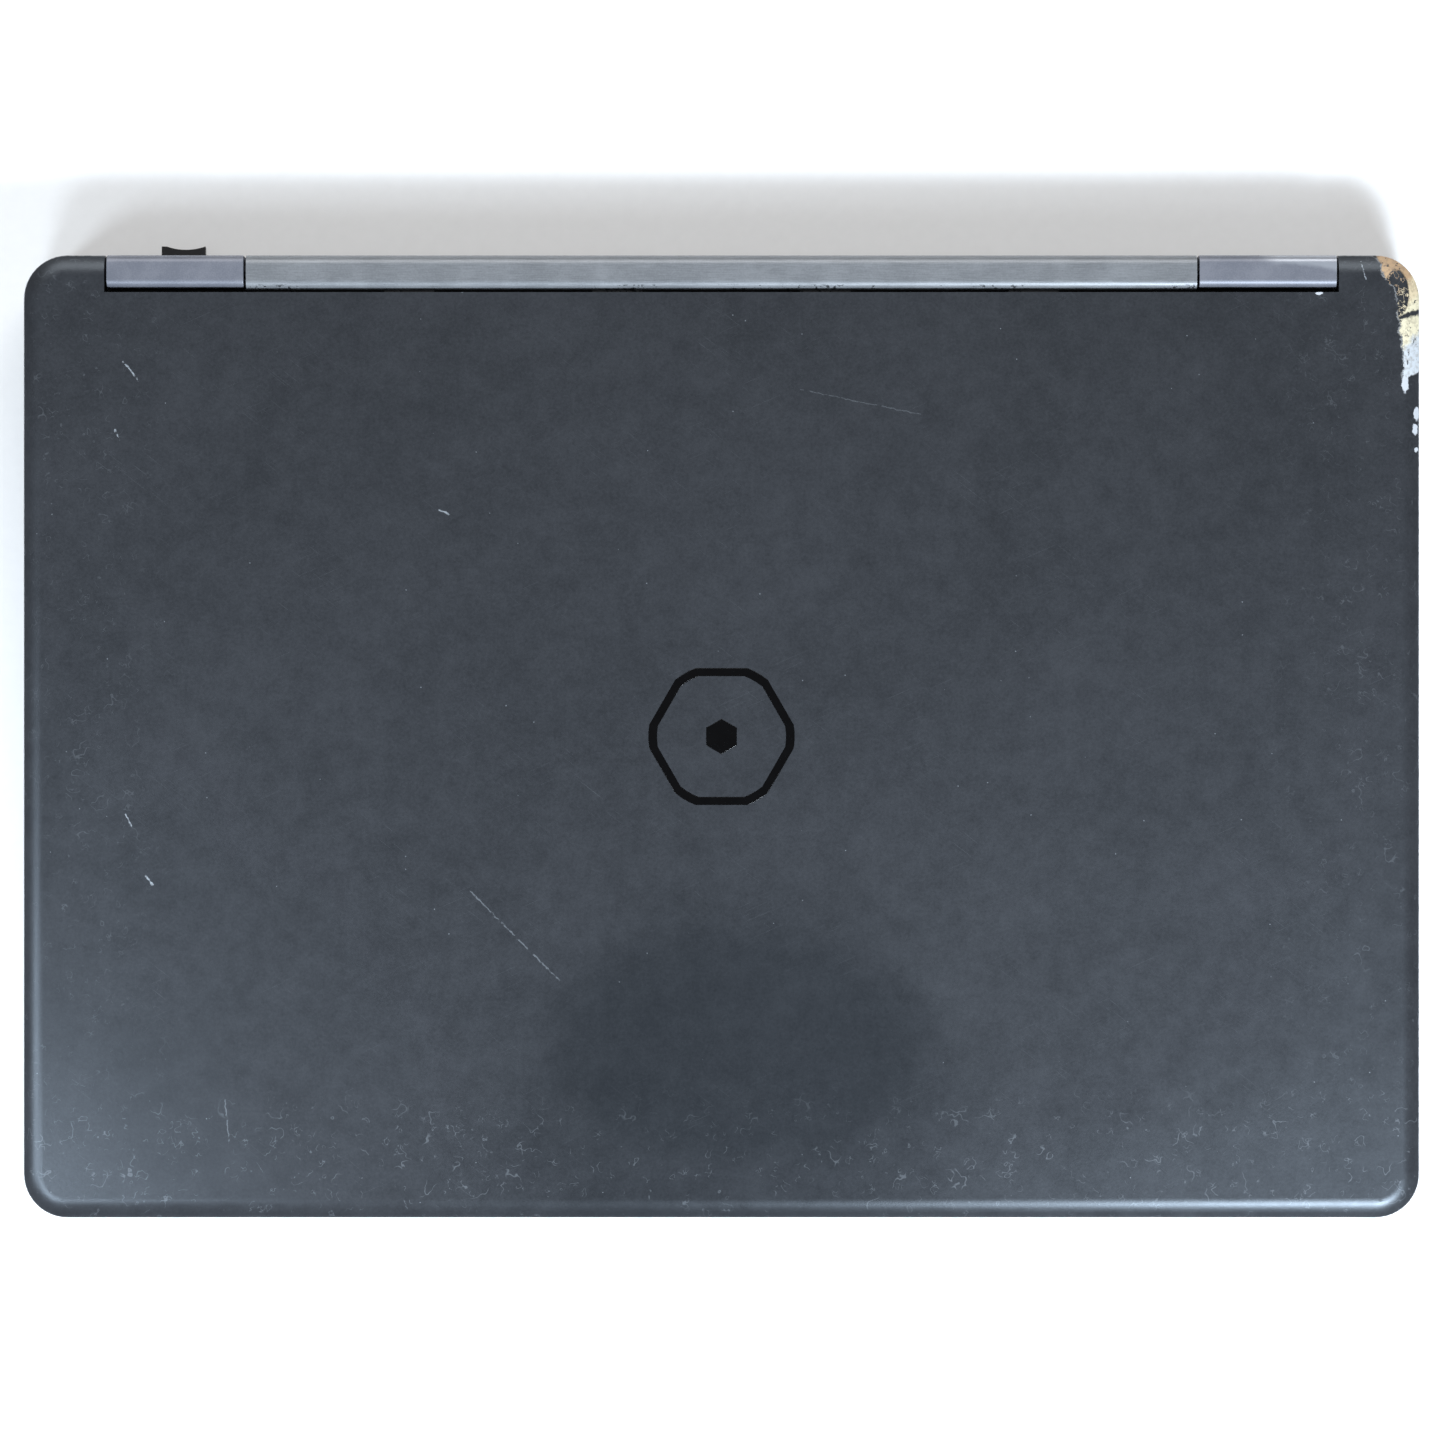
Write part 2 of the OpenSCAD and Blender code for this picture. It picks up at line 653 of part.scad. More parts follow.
module antennas() color("#6f7277") for (sx = [-1, 1])
    box([sx * 90 - 28, -half_d + 2.4, lid_roof - 1.2], [sx * 90 + 28, -half_d + 8, lid_roof - 0.2]);

// ---------- Sockets ----------

// Open sheet-metal shell with a tongue, mouth at the origin and facing +Y
module shell_socket(w, h, depth, tongue_w, tongue_h, tongue_z) {
    sheet = 0.4;
    difference() {
        box([-w / 2, -depth, -h / 2], [w / 2, -0.3, h / 2]);
        box([-w / 2 + sheet, -depth + 1.2, -h / 2 + sheet], [w / 2 - sheet, 0, h / 2 - sheet]);
    }
    box([-tongue_w / 2, -depth + 1, tongue_z - tongue_h / 2], [tongue_w / 2, -2, tongue_z + tongue_h / 2]);
}

module usb_socket() { shell_socket(13.2, 5.8, 14, 11.1, 1.8, 0.9); }

module usb_sockets() color("#9a9da2") {
    at_left(left_usb_y) usb_socket();
    at_right(right_usb_y) usb_socket();
    at_rear(rear_usb_x) usb_socket();
}

module hdmi_socket() color("#9a9da2") at_rear(hdmi_x) shell_socket(15, 5.4, 11.5, 11.8, 1, 0.2);

// D-shaped block, wider at the top
module d_block(half_top, half_h, y0, y1) {
    translate([0, y1, 0]) rotate([90, 0, 0]) linear_extrude(y1 - y0)
        polygon([[-half_top, half_h], [half_top, half_h],
            [half_top - 1.4, -half_h], [-half_top + 1.4, -half_h]]);
}

module vga_socket() color("#8d9096") at_right(vga_y) difference() {
    union() {
        box([-15.3, -9, -4.2], [15.3, -2, 4.2]);
        d_block(8.4, 3.9, -3, -0.3);
        for (sx = [-1, 1]) translate([sx * vga_pitch / 2, -3, 0])
            rotate([-90, 0, 0]) cylinder(r = 2.8, h = 3, $fn = 6);
    }
    // Three rows of five pin holes, and the two threaded standoffs
    for (row = [-1:1], i = [-2:2]) rod_y(0.55, i * 2.29 + row * 0.6, -5, 1, row * 2);
    for (sx = [-1, 1]) rod_y(1.25, sx * vga_pitch / 2, -8, 1, 0);
}

module power_jack() color("#1c1d1f") at_rear(power_jack_x) {
    difference() {
        union() {
            box([-5, -14, -3.9], [5, -2.1, 3.9]);
            rod_y(3.5, 0, -3, -0.3, 0);
        }
        rod_y(dc_r, 0, -0.3 - dc_len, 1, 0);
    }
    rod_y(1, 0, -0.8 - dc_len, -2.5, 0);
}

module headset_jack() color("#1c1d1f") at_right(headset_y) difference() {
    union() {
        box([-3.4, -16.5, -3], [3.4, -2.1, 3]);
        rod_y(3, 0, -3, -0.2, 0);
    }
    rod_y(headset_r, 0, -0.2 - headset_len, 1, 0);
}

module card_slot() color("#9a9da2") at_right(sd_y) difference() {
    box([-13, -27, 1.3], [13, -2.1, 4.3]);
    box([-12.2, -26, 1.8], [12.2, 1, 4]);
}

module smart_card_reader() color("#9a9da2") at_left(smart_y) difference() {
    box([-28.2, -70, 1.9], [28.2, -2.1, 4.2]);
    box([-27.2, -68, 2.3], [27.2, 1, 3.5]);
}

// Fixed part of the network socket; the jaw closes its underside
module network_jack() color("#1a1b1d") at_rear(network_x) difference() {
    box([-8.4, -17, -4.2], [8.4, -2.1, 3.9]);
    box([-6, -15.2, -6], [6, 1, 3.1]);
    box([-7.3, -19, -6], [7.3, 1, -1.4]);
    rod_x(0.65, -9, 9, jaw_pivot[0], jaw_pivot[1]);
}

module network_jaw() color("#111214") at_rear(network_x) {
    floor_z = -5.6;
    difference() {
        union() {
            box([-7, -13.8, floor_z], [7, -0.2, floor_z + 1]);
            for (sx = [-1, 1]) {
                box([sx * 6.6 - 0.4, -14.6, floor_z], [sx * 6.6 + 0.4, -0.2, -1.8]);
                rod_x(1.1, sx * 6.6 - 0.4, sx * 6.6 + 0.4, jaw_pivot[0], jaw_pivot[1]);
                rod_x(0.6, sx * 7.6 - 0.7, sx * 7.6 + 0.7, jaw_pivot[0], jaw_pivot[1]);
            }
            // Lip with its finger scoop, proud of the rear edge
            box([-lip_w / 2, -1.6, floor_z], [lip_w / 2, lip_out, floor_z + 2.2]);
        }
        translate([0.6, lip_out + 13.4, floor_z - 1]) cylinder(r = 14.2, h = 5);
        box([-4.6, -12.2, floor_z - 1], [4.6, -3, floor_z + 0.4]);
    }
}

module dock_connector() color("#141517") translate([0, 62]) difference() {
    slab(80, 8, 1.5, foot_h + 0.6, board_z);
    slab(76, 3.4, 1, 0, foot_h + 4.6);
}

module status_lights() color("#c9ccd0") for (x = [-150, -144, -138])
    box([x - 1, -half_d + 0.2, 10.3], [x + 1, -half_d + 5, 11.1]);

// ---------- Inside the base ----------

module motherboard() color("#1f4a35") {
    difference() {
        translate([0, 0, board_z]) linear_extrude(board_t)
            polygon([[-152, 14], [150, 14], [150, 96], [-88, 96], [-88, 39], [-152, 39]]);
        for (x = [-60, 40, 140], y = [20, 88]) rod_z(1.4, x, y, 0, deck_z);
    }
    // Chips and coils on its underside: middle, width, depth and height of each
    for (c = [[70, 32, 16, 16, 1.2], [-14, 80, 12, 12, 1], [70, 82, 10, 7, 1], [-120, 22, 14, 9, 1.2],
            [-76, 78, 6, 6, 2.6], [-66, 78, 6, 6, 2.6], [-56, 78, 6, 6, 2.6], [88, 40, 7, 7, 1]])
        translate([c[0], c[1]]) slab(c[2], c[3], 0.5, board_z - c[4], board_z + 0.1);
}

module heat_sink() color("#b0764a") {
    // Fin stack at the exhaust
    translate([fin_x, fan_at[1], 0]) for (i = [-11:11])
        box([-4, i * 1.9 - 0.15, fan_z], [4, i * 1.9 + 0.15, fan_z + 4.4]);
    box([fin_x - 4, fan_at[1] - 21.2, fan_z + 4.4], [fin_x + 4, fan_at[1] + 21.2, fan_z + 4.8]);
    // Heat pipe in front of the fan, from the fins to the processor plate
    box([fin_x - 3, fan_at[1] - 28.6, fan_z + 2.6], [fin_x + 3, fan_at[1] - 20, fan_z + 4.4]);
    box([fin_x - 3, fan_at[1] - 28.6, fan_z + 2.6], [-48, fan_at[1] - 25.2, fan_z + 4.4]);
    box([-76, fan_at[1] - 34, board_z - 2.1], [-44, fan_at[1] - 2, board_z - 0.1]);
}

module fan_housing() color("#202225") translate([fan_at[0], fan_at[1], 0]) difference() {
    slab(2 * fan_r + 6, 2 * fan_r + 2, 6, fan_z, fan_z + fan_h);
    rod_z(fan_r + 0.6, 0, 0, fan_z + 0.8, fan_z + fan_h - 0.6);
    rod_z(16, 0, 0, 0, fan_z + 2);
    // Outlet towards the fins
    box([-fan_r - 5, -fan_r + 3, fan_z + 0.8], [0, fan_r - 3, fan_z + fan_h - 0.6]);
}

module fan_rotor() color("#2c2e32") translate([fan_at[0], fan_at[1], 0]) {
    rod_z(9, 0, 0, fan_z + 1.2, fan_z + fan_h - 1);
    for (a = [0:20:340]) rotate(a) box([8.5, -0.35, fan_z + 1.4], [fan_r - 0.8, 0.35, fan_z + fan_h - 1.6]);
}

module memory_modules() color("#245c3f") for (i = [0, 1]) translate([10, 42 - i * 16, 0]) {
    box([-34, -7, board_z - 3.9], [34, 7, board_z - 2.9]);
    for (k = [0:3]) box([-30 + k * 16, -5, board_z - 4.9], [-18 + k * 16, 5, board_z - 3.9]);
    box([-35, 5, board_z - 2.9], [35, 7, board_z]);
}

// 2.5-inch drive, 7 mm high, with its connector notch and four side screw holes
module storage_drive() color("#a9acb0") translate([drive_at[0], drive_at[1], 0]) difference() {
    slab(69.8, 100, 1.5, 3.3, 10.2);
    box([-17, -51, 2], [16, -46, 7]);
    translate([0, 6, 0]) slab(58, 74, 3, 9.9, 11);
    for (sx = [-1, 1], y = [-36, 40.6]) rod_x(1.5, sx * 32.5 - 3, sx * 32.5 + 3, y, 6.3);
}

module wireless_card() color("#245c3f") {
    box([101, 58, board_z - 2.4], [123, 88, board_z - 1.6]);
    box([103, 64, board_z - 3.6], [121, 86, board_z - 2.4]);
    box([101, 58, board_z - 1.6], [123, 62, board_z]);
}

// Tray with three pairs of flat cells and a control strip along its rear edge
module battery_pack() color("#18191b") translate([battery_at[0], battery_at[1], 0]) {
    cell_w = (battery_w - 8) / 3;
    slab(battery_w, 84, 3, 3.3, 4.5);
    for (i = [-1:1], y = [-21.5, 16.5])
        translate([i * (cell_w + 2), y]) slab(cell_w, 36.5, 2.5, 4, 10);
    box([-battery_w / 2 + 3, 36, 4], [battery_w / 2 - 3, 41, 9]);
}

module speakers() color("#1b1c1e") for (sx = [-1, 1]) translate([sx * 156, -82, 0]) difference() {
    box([-6.4, -24, 3.3], [6.4, 24, 9.8]);
    translate([0, 0, 3]) slab(9, 18, 4, 0, 1.5);
}

bottom_cover();
case_screws();
rubber_feet();
palm_rest();
keyboard_plate();
dome_sheet();
keyboard_lattice();
keys_function_row();
keys_number_row();
keys_upper_row();
keys_home_row();
keys_lower_row();
keys_modifier_row();
arrow_keys();
space_bar();
enter_key();
pointing_stick();
touchpad();
pad_button_left();
pad_button_right();
stick_button_left();
stick_button_middle();
stick_button_right();
power_button();
hinge_cap_left();
hinge_cap_right();
hinge_bracket_left();
hinge_bracket_right();
motherboard();
heat_sink();
fan_housing();
fan_rotor();
memory_modules();
storage_drive();
wireless_card();
battery_pack();
speakers();
network_jack();
network_jaw();
usb_sockets();
hdmi_socket();
vga_socket();
power_jack();
headset_jack();
card_slot();
smart_card_reader();
dock_connector();
status_lights();
lid_cover();
lid_trim();
lid_emblem();
display_bezel();
display_panel();
screen_glass();
hinge_arm_left();
hinge_arm_right();
camera_module();
lid_bumpers();
display_cable();
antennas();
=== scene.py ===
"""A worn 14-inch business laptop, closed on a pale floor and seen from straight above."""

import json
import math

import bmesh
import bpy
import numpy as np
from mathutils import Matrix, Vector


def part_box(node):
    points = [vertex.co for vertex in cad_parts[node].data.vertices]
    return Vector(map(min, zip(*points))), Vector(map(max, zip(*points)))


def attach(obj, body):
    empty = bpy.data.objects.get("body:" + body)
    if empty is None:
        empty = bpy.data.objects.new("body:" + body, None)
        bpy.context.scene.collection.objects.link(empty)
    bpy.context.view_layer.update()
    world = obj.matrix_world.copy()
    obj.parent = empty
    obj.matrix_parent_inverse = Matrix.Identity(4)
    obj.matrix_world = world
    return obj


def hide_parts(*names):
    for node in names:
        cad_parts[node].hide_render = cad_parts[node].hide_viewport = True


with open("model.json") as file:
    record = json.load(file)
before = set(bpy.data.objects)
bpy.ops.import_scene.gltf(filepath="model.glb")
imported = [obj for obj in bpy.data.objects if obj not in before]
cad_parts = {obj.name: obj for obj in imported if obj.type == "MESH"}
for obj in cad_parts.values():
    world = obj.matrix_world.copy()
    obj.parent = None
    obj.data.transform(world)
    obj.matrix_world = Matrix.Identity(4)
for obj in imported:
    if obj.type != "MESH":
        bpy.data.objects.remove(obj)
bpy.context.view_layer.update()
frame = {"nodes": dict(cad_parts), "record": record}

MM = 0.001
NODES = frame["nodes"]
BODY_OF = {n: b for b, members in frame["record"]["behaviour"]["bodies"].items() for n in members}
SLOT_OF = {s["node"]: s["material_slot"] for s in frame["record"]["subparts"]}

# Measures taken from the frame
LID_LOW, LID_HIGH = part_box("lid_cover")
HALF_W, HALF_D = LID_HIGH.x, LID_HIGH.y
LID_TOP = LID_HIGH.z
CORNER_R = 10.5 * MM
STICK = sum(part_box("pointing_stick"), Vector()) / 2
# Radius of the gap round the pointing stick, and the depth of the trim behind the lid
STICK_R = 5.3 * MM
TRIM_FRONT = HALF_D - 8.4 * MM

# The two colours that the lid's coating varies between, scene-linear
LID_DARK = (0.0155, 0.0165, 0.019, 1)
LID_PALE = (0.0300, 0.0315, 0.036, 1)

KEY_ROWS = {
    "keys_function_row": ["Esc", *[f"F{i}" for i in range(1, 13)], "Ins", "Del"],
    "keys_number_row": [*"`1234567890-=", "Back"],
    "keys_upper_row": ["Tab", *"QWERTYUIOP[]", "\\"],
    "keys_home_row": ["Caps", *"ASDFGHJKL;'"],
    "enter_key": ["Enter"],
    "keys_lower_row": ["Shift", *"ZXCVBNM,./", "Shift"],
    "keys_modifier_row": ["Ctrl", "Fn", "", "Alt", "Alt", "", "Ctrl"],
    "space_bar": [""],
    "arrow_keys": ["", "", "", "", "", ""],
}


def srgb(red, green, blue):
    """Scene-linear colour with alpha from screen values of 0 to 255."""
    def line(v):
        v /= 255
        return v / 12.92 if v <= 0.04045 else ((v + 0.055) / 1.055) ** 2.4
    return line(red), line(green), line(blue), 1.0


# ---------- Materials ----------


class Graph:
    """A Principled material whose inputs are written as expressions of the place on the object."""

    def __init__(self, name, **values):
        self.material = bpy.data.materials.new(name)
        self.material.use_nodes = True
        self.tree = self.material.node_tree
        self.shader = next(n for n in self.tree.nodes if n.type == "BSDF_PRINCIPLED")
        self.at = self.make("ShaderNodeTexCoord").outputs["Object"]
        self.x, self.y, self.z = self.make("ShaderNodeSeparateXYZ", {0: self.at}).outputs
        for label, value in values.items():
            self.set(label.replace("_", " "), value)

    def make(self, kind, inputs=(), **settings):
        made = self.tree.nodes.new(kind)
        for key, value in settings.items():
            setattr(made, key, value)
        for key, value in dict(inputs).items():
            self.put(made.inputs[key], value)
        return made

    def put(self, socket, value):
        if isinstance(value, bpy.types.NodeSocket):
            self.tree.links.new(value, socket)
        else:
            socket.default_value = value

    def set(self, label, value):
        self.put(self.shader.inputs[label], value)

    def math(self, operation, a, b=0.0):
        return self.make("ShaderNodeMath", {0: a, 1: b}, operation=operation).outputs[0]

    def add(self, a, b):
        return self.math("ADD", a, b)

    def mul(self, a, b):
        return self.math("MULTIPLY", a, b)

    def most(self, *values):
        total = values[0]
        for value in values[1:]:
            total = self.math("MAXIMUM", total, value)
        return total

    def vec(self, operation, a, b=(0, 0, 0)):
        node = self.make("ShaderNodeVectorMath", {0: a, 1: b}, operation=operation)
        return node.outputs["Value" if operation in ("LENGTH", "DOT_PRODUCT") else "Vector"]

    def step(self, value, low, high):
        """0 below low, 1 above high, smooth between; the other way round when low is above high."""
        ends = {"From Min": low, "From Max": high, "To Min": 0.0, "To Max": 1.0}
        if low > high:
            ends = {"From Min": high, "From Max": low, "To Min": 1.0, "To Max": 0.0}
        ends["Value"] = value
        return self.make("ShaderNodeMapRange", ends, interpolation_type="SMOOTHSTEP").outputs[0]

    def level(self, value, low, high):
        """Stretches a 0 to 1 value between low and high."""
        ends = {"Value": value, "To Min": low, "To Max": high}
        return self.make("ShaderNodeMapRange", ends).outputs[0]

    def place(self, stretch=(1, 1, 1), turn=0.0, at=None):
        ends = {"Vector": at or self.at, "Scale": stretch, "Rotation": (0, 0, math.radians(turn))}
        return self.make("ShaderNodeMapping", ends, vector_type="TEXTURE").outputs[0]

    def moved(self, at, seed):
        """The same place in a stretch of texture of its own."""
        if seed:
            return self.vec("ADD", at or self.at, (0.31 * seed, 0.23 * seed, 0.17 * seed))
        return at or self.at

    def noise(self, size, detail=2.0, rough=0.5, at=None, seed=0.0):
        """Cloudy 0 to 1 value whose features are about size metres across."""
        ends = {"Vector": self.moved(at, seed), "Scale": 1 / size, "Detail": detail, "Roughness": rough}
        return self.make("ShaderNodeTexNoise", ends).outputs[0]

    def cells(self, size, at=None, feature="F1", seed=0.0):
        ends = {"Vector": self.moved(at, seed), "Scale": 1 / size}
        return self.make("ShaderNodeTexVoronoi", ends, feature=feature).outputs

    def blend(self, share, a, b):
        node = self.make("ShaderNodeMix", {0: share, 6: a, 7: b}, data_type="RGBA")
        return node.outputs[2]

    def bump(self, height, depth, onto=None):
        node = self.make("ShaderNodeBump", {"Height": height, "Distance": depth, "Strength": 1.0})
        if onto is not None:
            self.put(node.inputs["Normal"], onto)
        return node.outputs[0]

    def stroke(self, at, start, end, width):
        """1 on the line from start to end, in millimetres, and 0 away from it."""
        a = Vector((*start, 0)) * MM
        run = Vector((*end, 0)) * MM - a
        away = self.vec("SUBTRACT", at, a)
        along = self.vec("DOT_PRODUCT", away, run / run.length_squared)
        along = self.make("ShaderNodeClamp", {0: along}).outputs[0]
        on_line = self.make("ShaderNodeVectorMath", {0: run, "Scale": along}, operation="SCALE")
        gap = self.vec("LENGTH", self.vec("SUBTRACT", away, on_line.outputs[0]))
        return self.step(gap, width * MM, width * MM * 0.35)

    def streaks(self, turn, length, width, seed, share):
        """Fine parallel hairlines in one direction; share is how much of the surface they take."""
        lines = self.noise(width * MM, 1.0, at=self.place((length / width, 1, 1), turn), seed=seed)
        return self.step(lines, 0.78 - share, 0.84 - share)


def grained(name, color, roughness, grain=0.35, depth=0.03, spread=0.18, polish=0.08, metallic=0.0):
    """Moulded or painted surface with a fine grain, cloudy colour and small changes of gloss."""
    g = Graph(name, Metallic=metallic)
    cloud = g.noise(14 * MM, 4.0, 0.6)
    fine = g.noise(grain * MM, 2.0, 0.6, seed=3.0)
    mottle = g.add(g.mul(cloud, 0.6), g.mul(fine, 0.4))
    dark = tuple(c * (1 - spread) for c in color[:3]) + (1.0,)
    light = tuple(min(1.0, c * (1 + spread)) for c in color[:3]) + (1.0,)
    g.set("Base Color", g.blend(g.step(mottle, 0.3, 0.7), dark, light))
    rub = g.noise(5 * MM, 3.0, 0.7, seed=8.0)
    g.set("Roughness", g.level(rub, roughness - polish, roughness + polish))
    g.set("Normal", g.bump(fine, depth * MM))
    return g


def brushed(name, color, roughness, turn=0.0, contrast=0.15):
    """Metal with fine drawn lines along one direction."""
    g = Graph(name, Metallic=1.0)
    lines = g.noise(0.12 * MM, 3.0, 0.7, at=g.place((60, 1, 1), turn))
    cloud = g.noise(9 * MM, 3.0, 0.6, seed=2.0)
    dark = tuple(c * (1 - contrast) for c in color[:3]) + (1.0,)
    g.set("Base Color", g.blend(g.step(g.mul(g.add(lines, cloud), 0.5), 0.35, 0.65), dark, color))
    g.set("Roughness", g.level(lines, roughness - 0.08, roughness + 0.12))
    g.set("Normal", g.bump(lines, 0.004 * MM))
    return g


def silver_paint():
    """Silver paint of the hinge line: drawn streaks along X, dulled patches and chips at the front."""
    g = Graph("silver_paint", Metallic=0.35)
    lines = g.noise(0.2 * MM, 3.0, 0.65, at=g.place((26, 1, 1)))
    cloud = g.noise(10 * MM, 4.0, 0.6, seed=5.0)
    flecks = g.noise(0.35 * MM, 2.0, 0.6, seed=9.0)
    tone = g.add(g.mul(lines, 0.45), g.add(g.mul(cloud, 0.3), g.mul(flecks, 0.25)))
    silver = g.blend(g.step(tone, 0.36, 0.64), srgb(112, 115, 119), srgb(134, 137, 141))
    ragged = g.noise(1.1 * MM, 3.0, 0.6, seed=1.0)
    chip_field = g.add(g.mul(ragged, 0.55), g.mul(g.noise(22 * MM, 2.0, seed=4.0), 0.45))
    near_front = g.step(g.y, TRIM_FRONT + 1.5 * MM, TRIM_FRONT + 0.8 * MM)
    chips = g.mul(g.step(chip_field, 0.575, 0.6), near_front)
    g.set("Base Color", g.blend(chips, silver, srgb(48, 50, 53)))
    g.set("Roughness", g.level(cloud, 0.36, 0.5))
    g.set("Normal", g.bump(g.add(g.mul(lines, 0.35), g.mul(chips, -1.0)), 0.02 * MM))
    return g


def cap_paint():
    """Smoother, slightly violet paint of the hinge caps, polished at the outer end of the right one,
    where a lighter colour is a painted highlight.
    """
    g = Graph("cap_paint", Metallic=0.3)
    cloud = g.noise(7 * MM, 4.0, 0.6)
    fine = g.noise(0.3 * MM, 2.0, 0.6, seed=3.0)
    tone = g.add(g.mul(cloud, 0.55), g.mul(fine, 0.45))
    paint = g.blend(g.step(tone, 0.35, 0.65), srgb(106, 109, 119), srgb(120, 122, 131))
    wavy = g.mul(g.math("SUBTRACT", g.noise(6 * MM, 2.0, seed=6.0), 0.5), 3.0 * MM)
    slant = g.add(g.math("SUBTRACT", g.y, g.mul(g.x, -0.13)), wavy)
    polish_and_painted_highlight = g.mul(g.step(slant, 130.3 * MM, 131.8 * MM), g.step(g.x, 128 * MM, 134 * MM))
    # The polished patch is also lightened in colour: a painted highlight on top of its smoother gloss
    g.set("Base Color", g.blend(g.mul(polish_and_painted_highlight, 0.7), paint, srgb(164, 167, 174)))
    g.set("Roughness", g.add(g.level(cloud, 0.4, 0.5), g.mul(polish_and_painted_highlight, -0.16)))
    g.set("Normal", g.bump(fine, 0.006 * MM))
    return g


# Scratches on the lid, in millimetres from its middle: start, end, width and strength
LID_SCRATCHES = [
    ((-143.3, 89.9), (-139.6, 85.1), 0.28, 0.9),
    ((-145.4, 73.6), (-144.3, 71.0), 0.25, 0.8),
    ((-67.6, 54.2), (-65.2, 53.3), 0.3, 0.8),
    ((18.9, 83.2), (47.7, 77.2), 0.16, 0.16),
    ((-138.0, -33.5), (-136.2, -35.6), 0.3, 0.9),
    ((-142.9, -18.6), (-141.4, -21.4), 0.25, 0.8),
    ((153.3, 114.0), (154.5, 109.6), 0.22, 0.9),
    ((-60.4, -36.9), (-38.8, -58.5), 0.22, 0.3),
    ((-119.0, -87.0), (-118.0, -97.5), 0.2, 0.3),
]
# Chips in the lid's finish: middle and size in millimetres
LID_CHIPS = [
    ((163.9, 84.6), (0.8, 2.2)),
    ((166.7, 77.4), (0.7, 1.6)),
    ((166.4, 73.6), (0.7, 1.4)),
    ((166.7, 68.8), (0.5, 0.6)),
    ((143.2, 106.2), (0.9, 0.35)),
]


def away_from(g, at, middle, size):
    """How many times a patch's own size a place is away from its middle, both in millimetres."""
    away = g.vec("SUBTRACT", at, Vector((*middle, 0)) * MM)
    return g.vec("LENGTH", g.vec("MULTIPLY", away, (1 / (size[0] * MM), 1 / (size[1] * MM), 0)))


def chip(g, at, middle, size, seed):
    """Small patch with a ragged edge."""
    ragged = g.mul(g.noise(0.9 * MM, 3.0, 0.6, seed=seed), 0.9)
    return g.step(g.add(away_from(g, at, middle, size), ragged), 1.6, 1.3)


# Where an oval's edge lies, in times its own size, once the unevenness is added
PALM_EDGE = 1.17


def palm_mark(g, at, middle, size, softness=0.3):
    """Large soft oval."""
    uneven = g.mul(g.noise(14 * MM, 3.0, seed=23.0), 0.35)
    away = g.add(away_from(g, at, middle, size), uneven)
    return g.step(away, PALM_EDGE + softness / 2, PALM_EDGE - softness / 2)


def squiggles(g, seed, size, share):
    """Short curly hairlines, each in a cell of its own; share is how many cells hold one."""
    cell = g.cells(size * MM, seed=seed)
    pick = g.make("ShaderNodeSeparateColor", {0: cell[1]}).outputs
    held = g.mul(g.step(pick[0], 1 - share, 1 - share + 0.02), g.step(cell[0], 0.42, 0.3))
    field = g.add(g.noise(size * 0.55 * MM, 1.5, 0.5, seed=seed + 0.5), g.mul(pick[1], 0.2))
    thin = g.step(g.math("ABSOLUTE", g.math("SUBTRACT", field, 0.6)), 0.016, 0.005)
    return g.mul(thin, held)


def corner_wear(g, flat):
    """Masks of the finish peeled off the rear right corner: bare plastic, its pale edge, and colour."""
    past = g.vec("SUBTRACT", flat, (HALF_W - CORNER_R, HALF_D - CORNER_R, 0))
    over = g.vec("MAXIMUM", past, (0, 0, 0))
    inset = g.math("SUBTRACT", CORNER_R, g.vec("LENGTH", over))
    ragged = g.mul(g.math("SUBTRACT", g.noise(2.6 * MM, 5.0, 0.75, seed=17.0), 0.5), 3.6 * MM)
    along = g.math("SUBTRACT", g.y, g.x)
    ends = g.mul(g.step(along, -80.5 * MM, -77.5 * MM), g.step(along, -40 * MM, -51 * MM))
    reach = g.mul(ends, g.level(g.step(along, -74 * MM, -54 * MM), 4.2 * MM, 5.8 * MM))
    depth = g.add(g.math("SUBTRACT", reach, inset), g.mul(ragged, g.step(reach, 0.2 * MM, 3 * MM)))
    worn = g.mul(g.step(depth, 0.0, 0.3 * MM), g.step(reach, 0.2 * MM, 1.0 * MM))
    # What is left of the black undercoat: a curled patch inside the corner, a crack and small islands
    left = g.step(g.add(away_from(g, flat, (161.8, 106.2), (2.9, 5.6)), g.mul(ragged, 60)), 1.12, 0.98)
    curls = g.math("ABSOLUTE", g.math("SUBTRACT", g.noise(2.3 * MM, 3.0, 0.6, seed=24.0), 0.5))
    left = g.mul(left, g.step(curls, 0.005, 0.016))
    jitter = g.make("ShaderNodeCombineXYZ", {0: ragged, 1: ragged}).outputs[0]
    crack = g.stroke(g.vec("ADD", flat, jitter), (163.0, 100.5), (168.0, 102.0), 0.9)
    islands = g.step(g.noise(1.2 * MM, 4.0, 0.7, seed=19.0), 0.6, 0.65)
    bare = g.mul(worn, g.math("SUBTRACT", 1.0, g.most(left, crack, islands)))
    rim = g.mul(g.step(depth, -0.35 * MM, -0.05 * MM), g.math("SUBTRACT", 1.0, worn))
    rim = g.mul(rim, g.step(g.noise(1.9 * MM, 2.0, seed=25.0), 0.4, 0.5))
    warped = g.add(along, g.mul(ragged, 2.0))
    under = g.blend(g.step(warped, -72 * MM, -69 * MM), srgb(188, 194, 200), srgb(214, 206, 178))
    under = g.blend(g.step(warped, -63 * MM, -60 * MM), under, srgb(206, 190, 158))
    under = g.blend(g.step(warped, -57 * MM, -54 * MM), under, srgb(182, 152, 118))
    stain = g.step(g.noise(1.0 * MM, 4.0, 0.65, seed=21.0), 0.42, 0.7)
    return bare, rim, g.blend(g.mul(stain, 0.5), under, srgb(122, 108, 92))


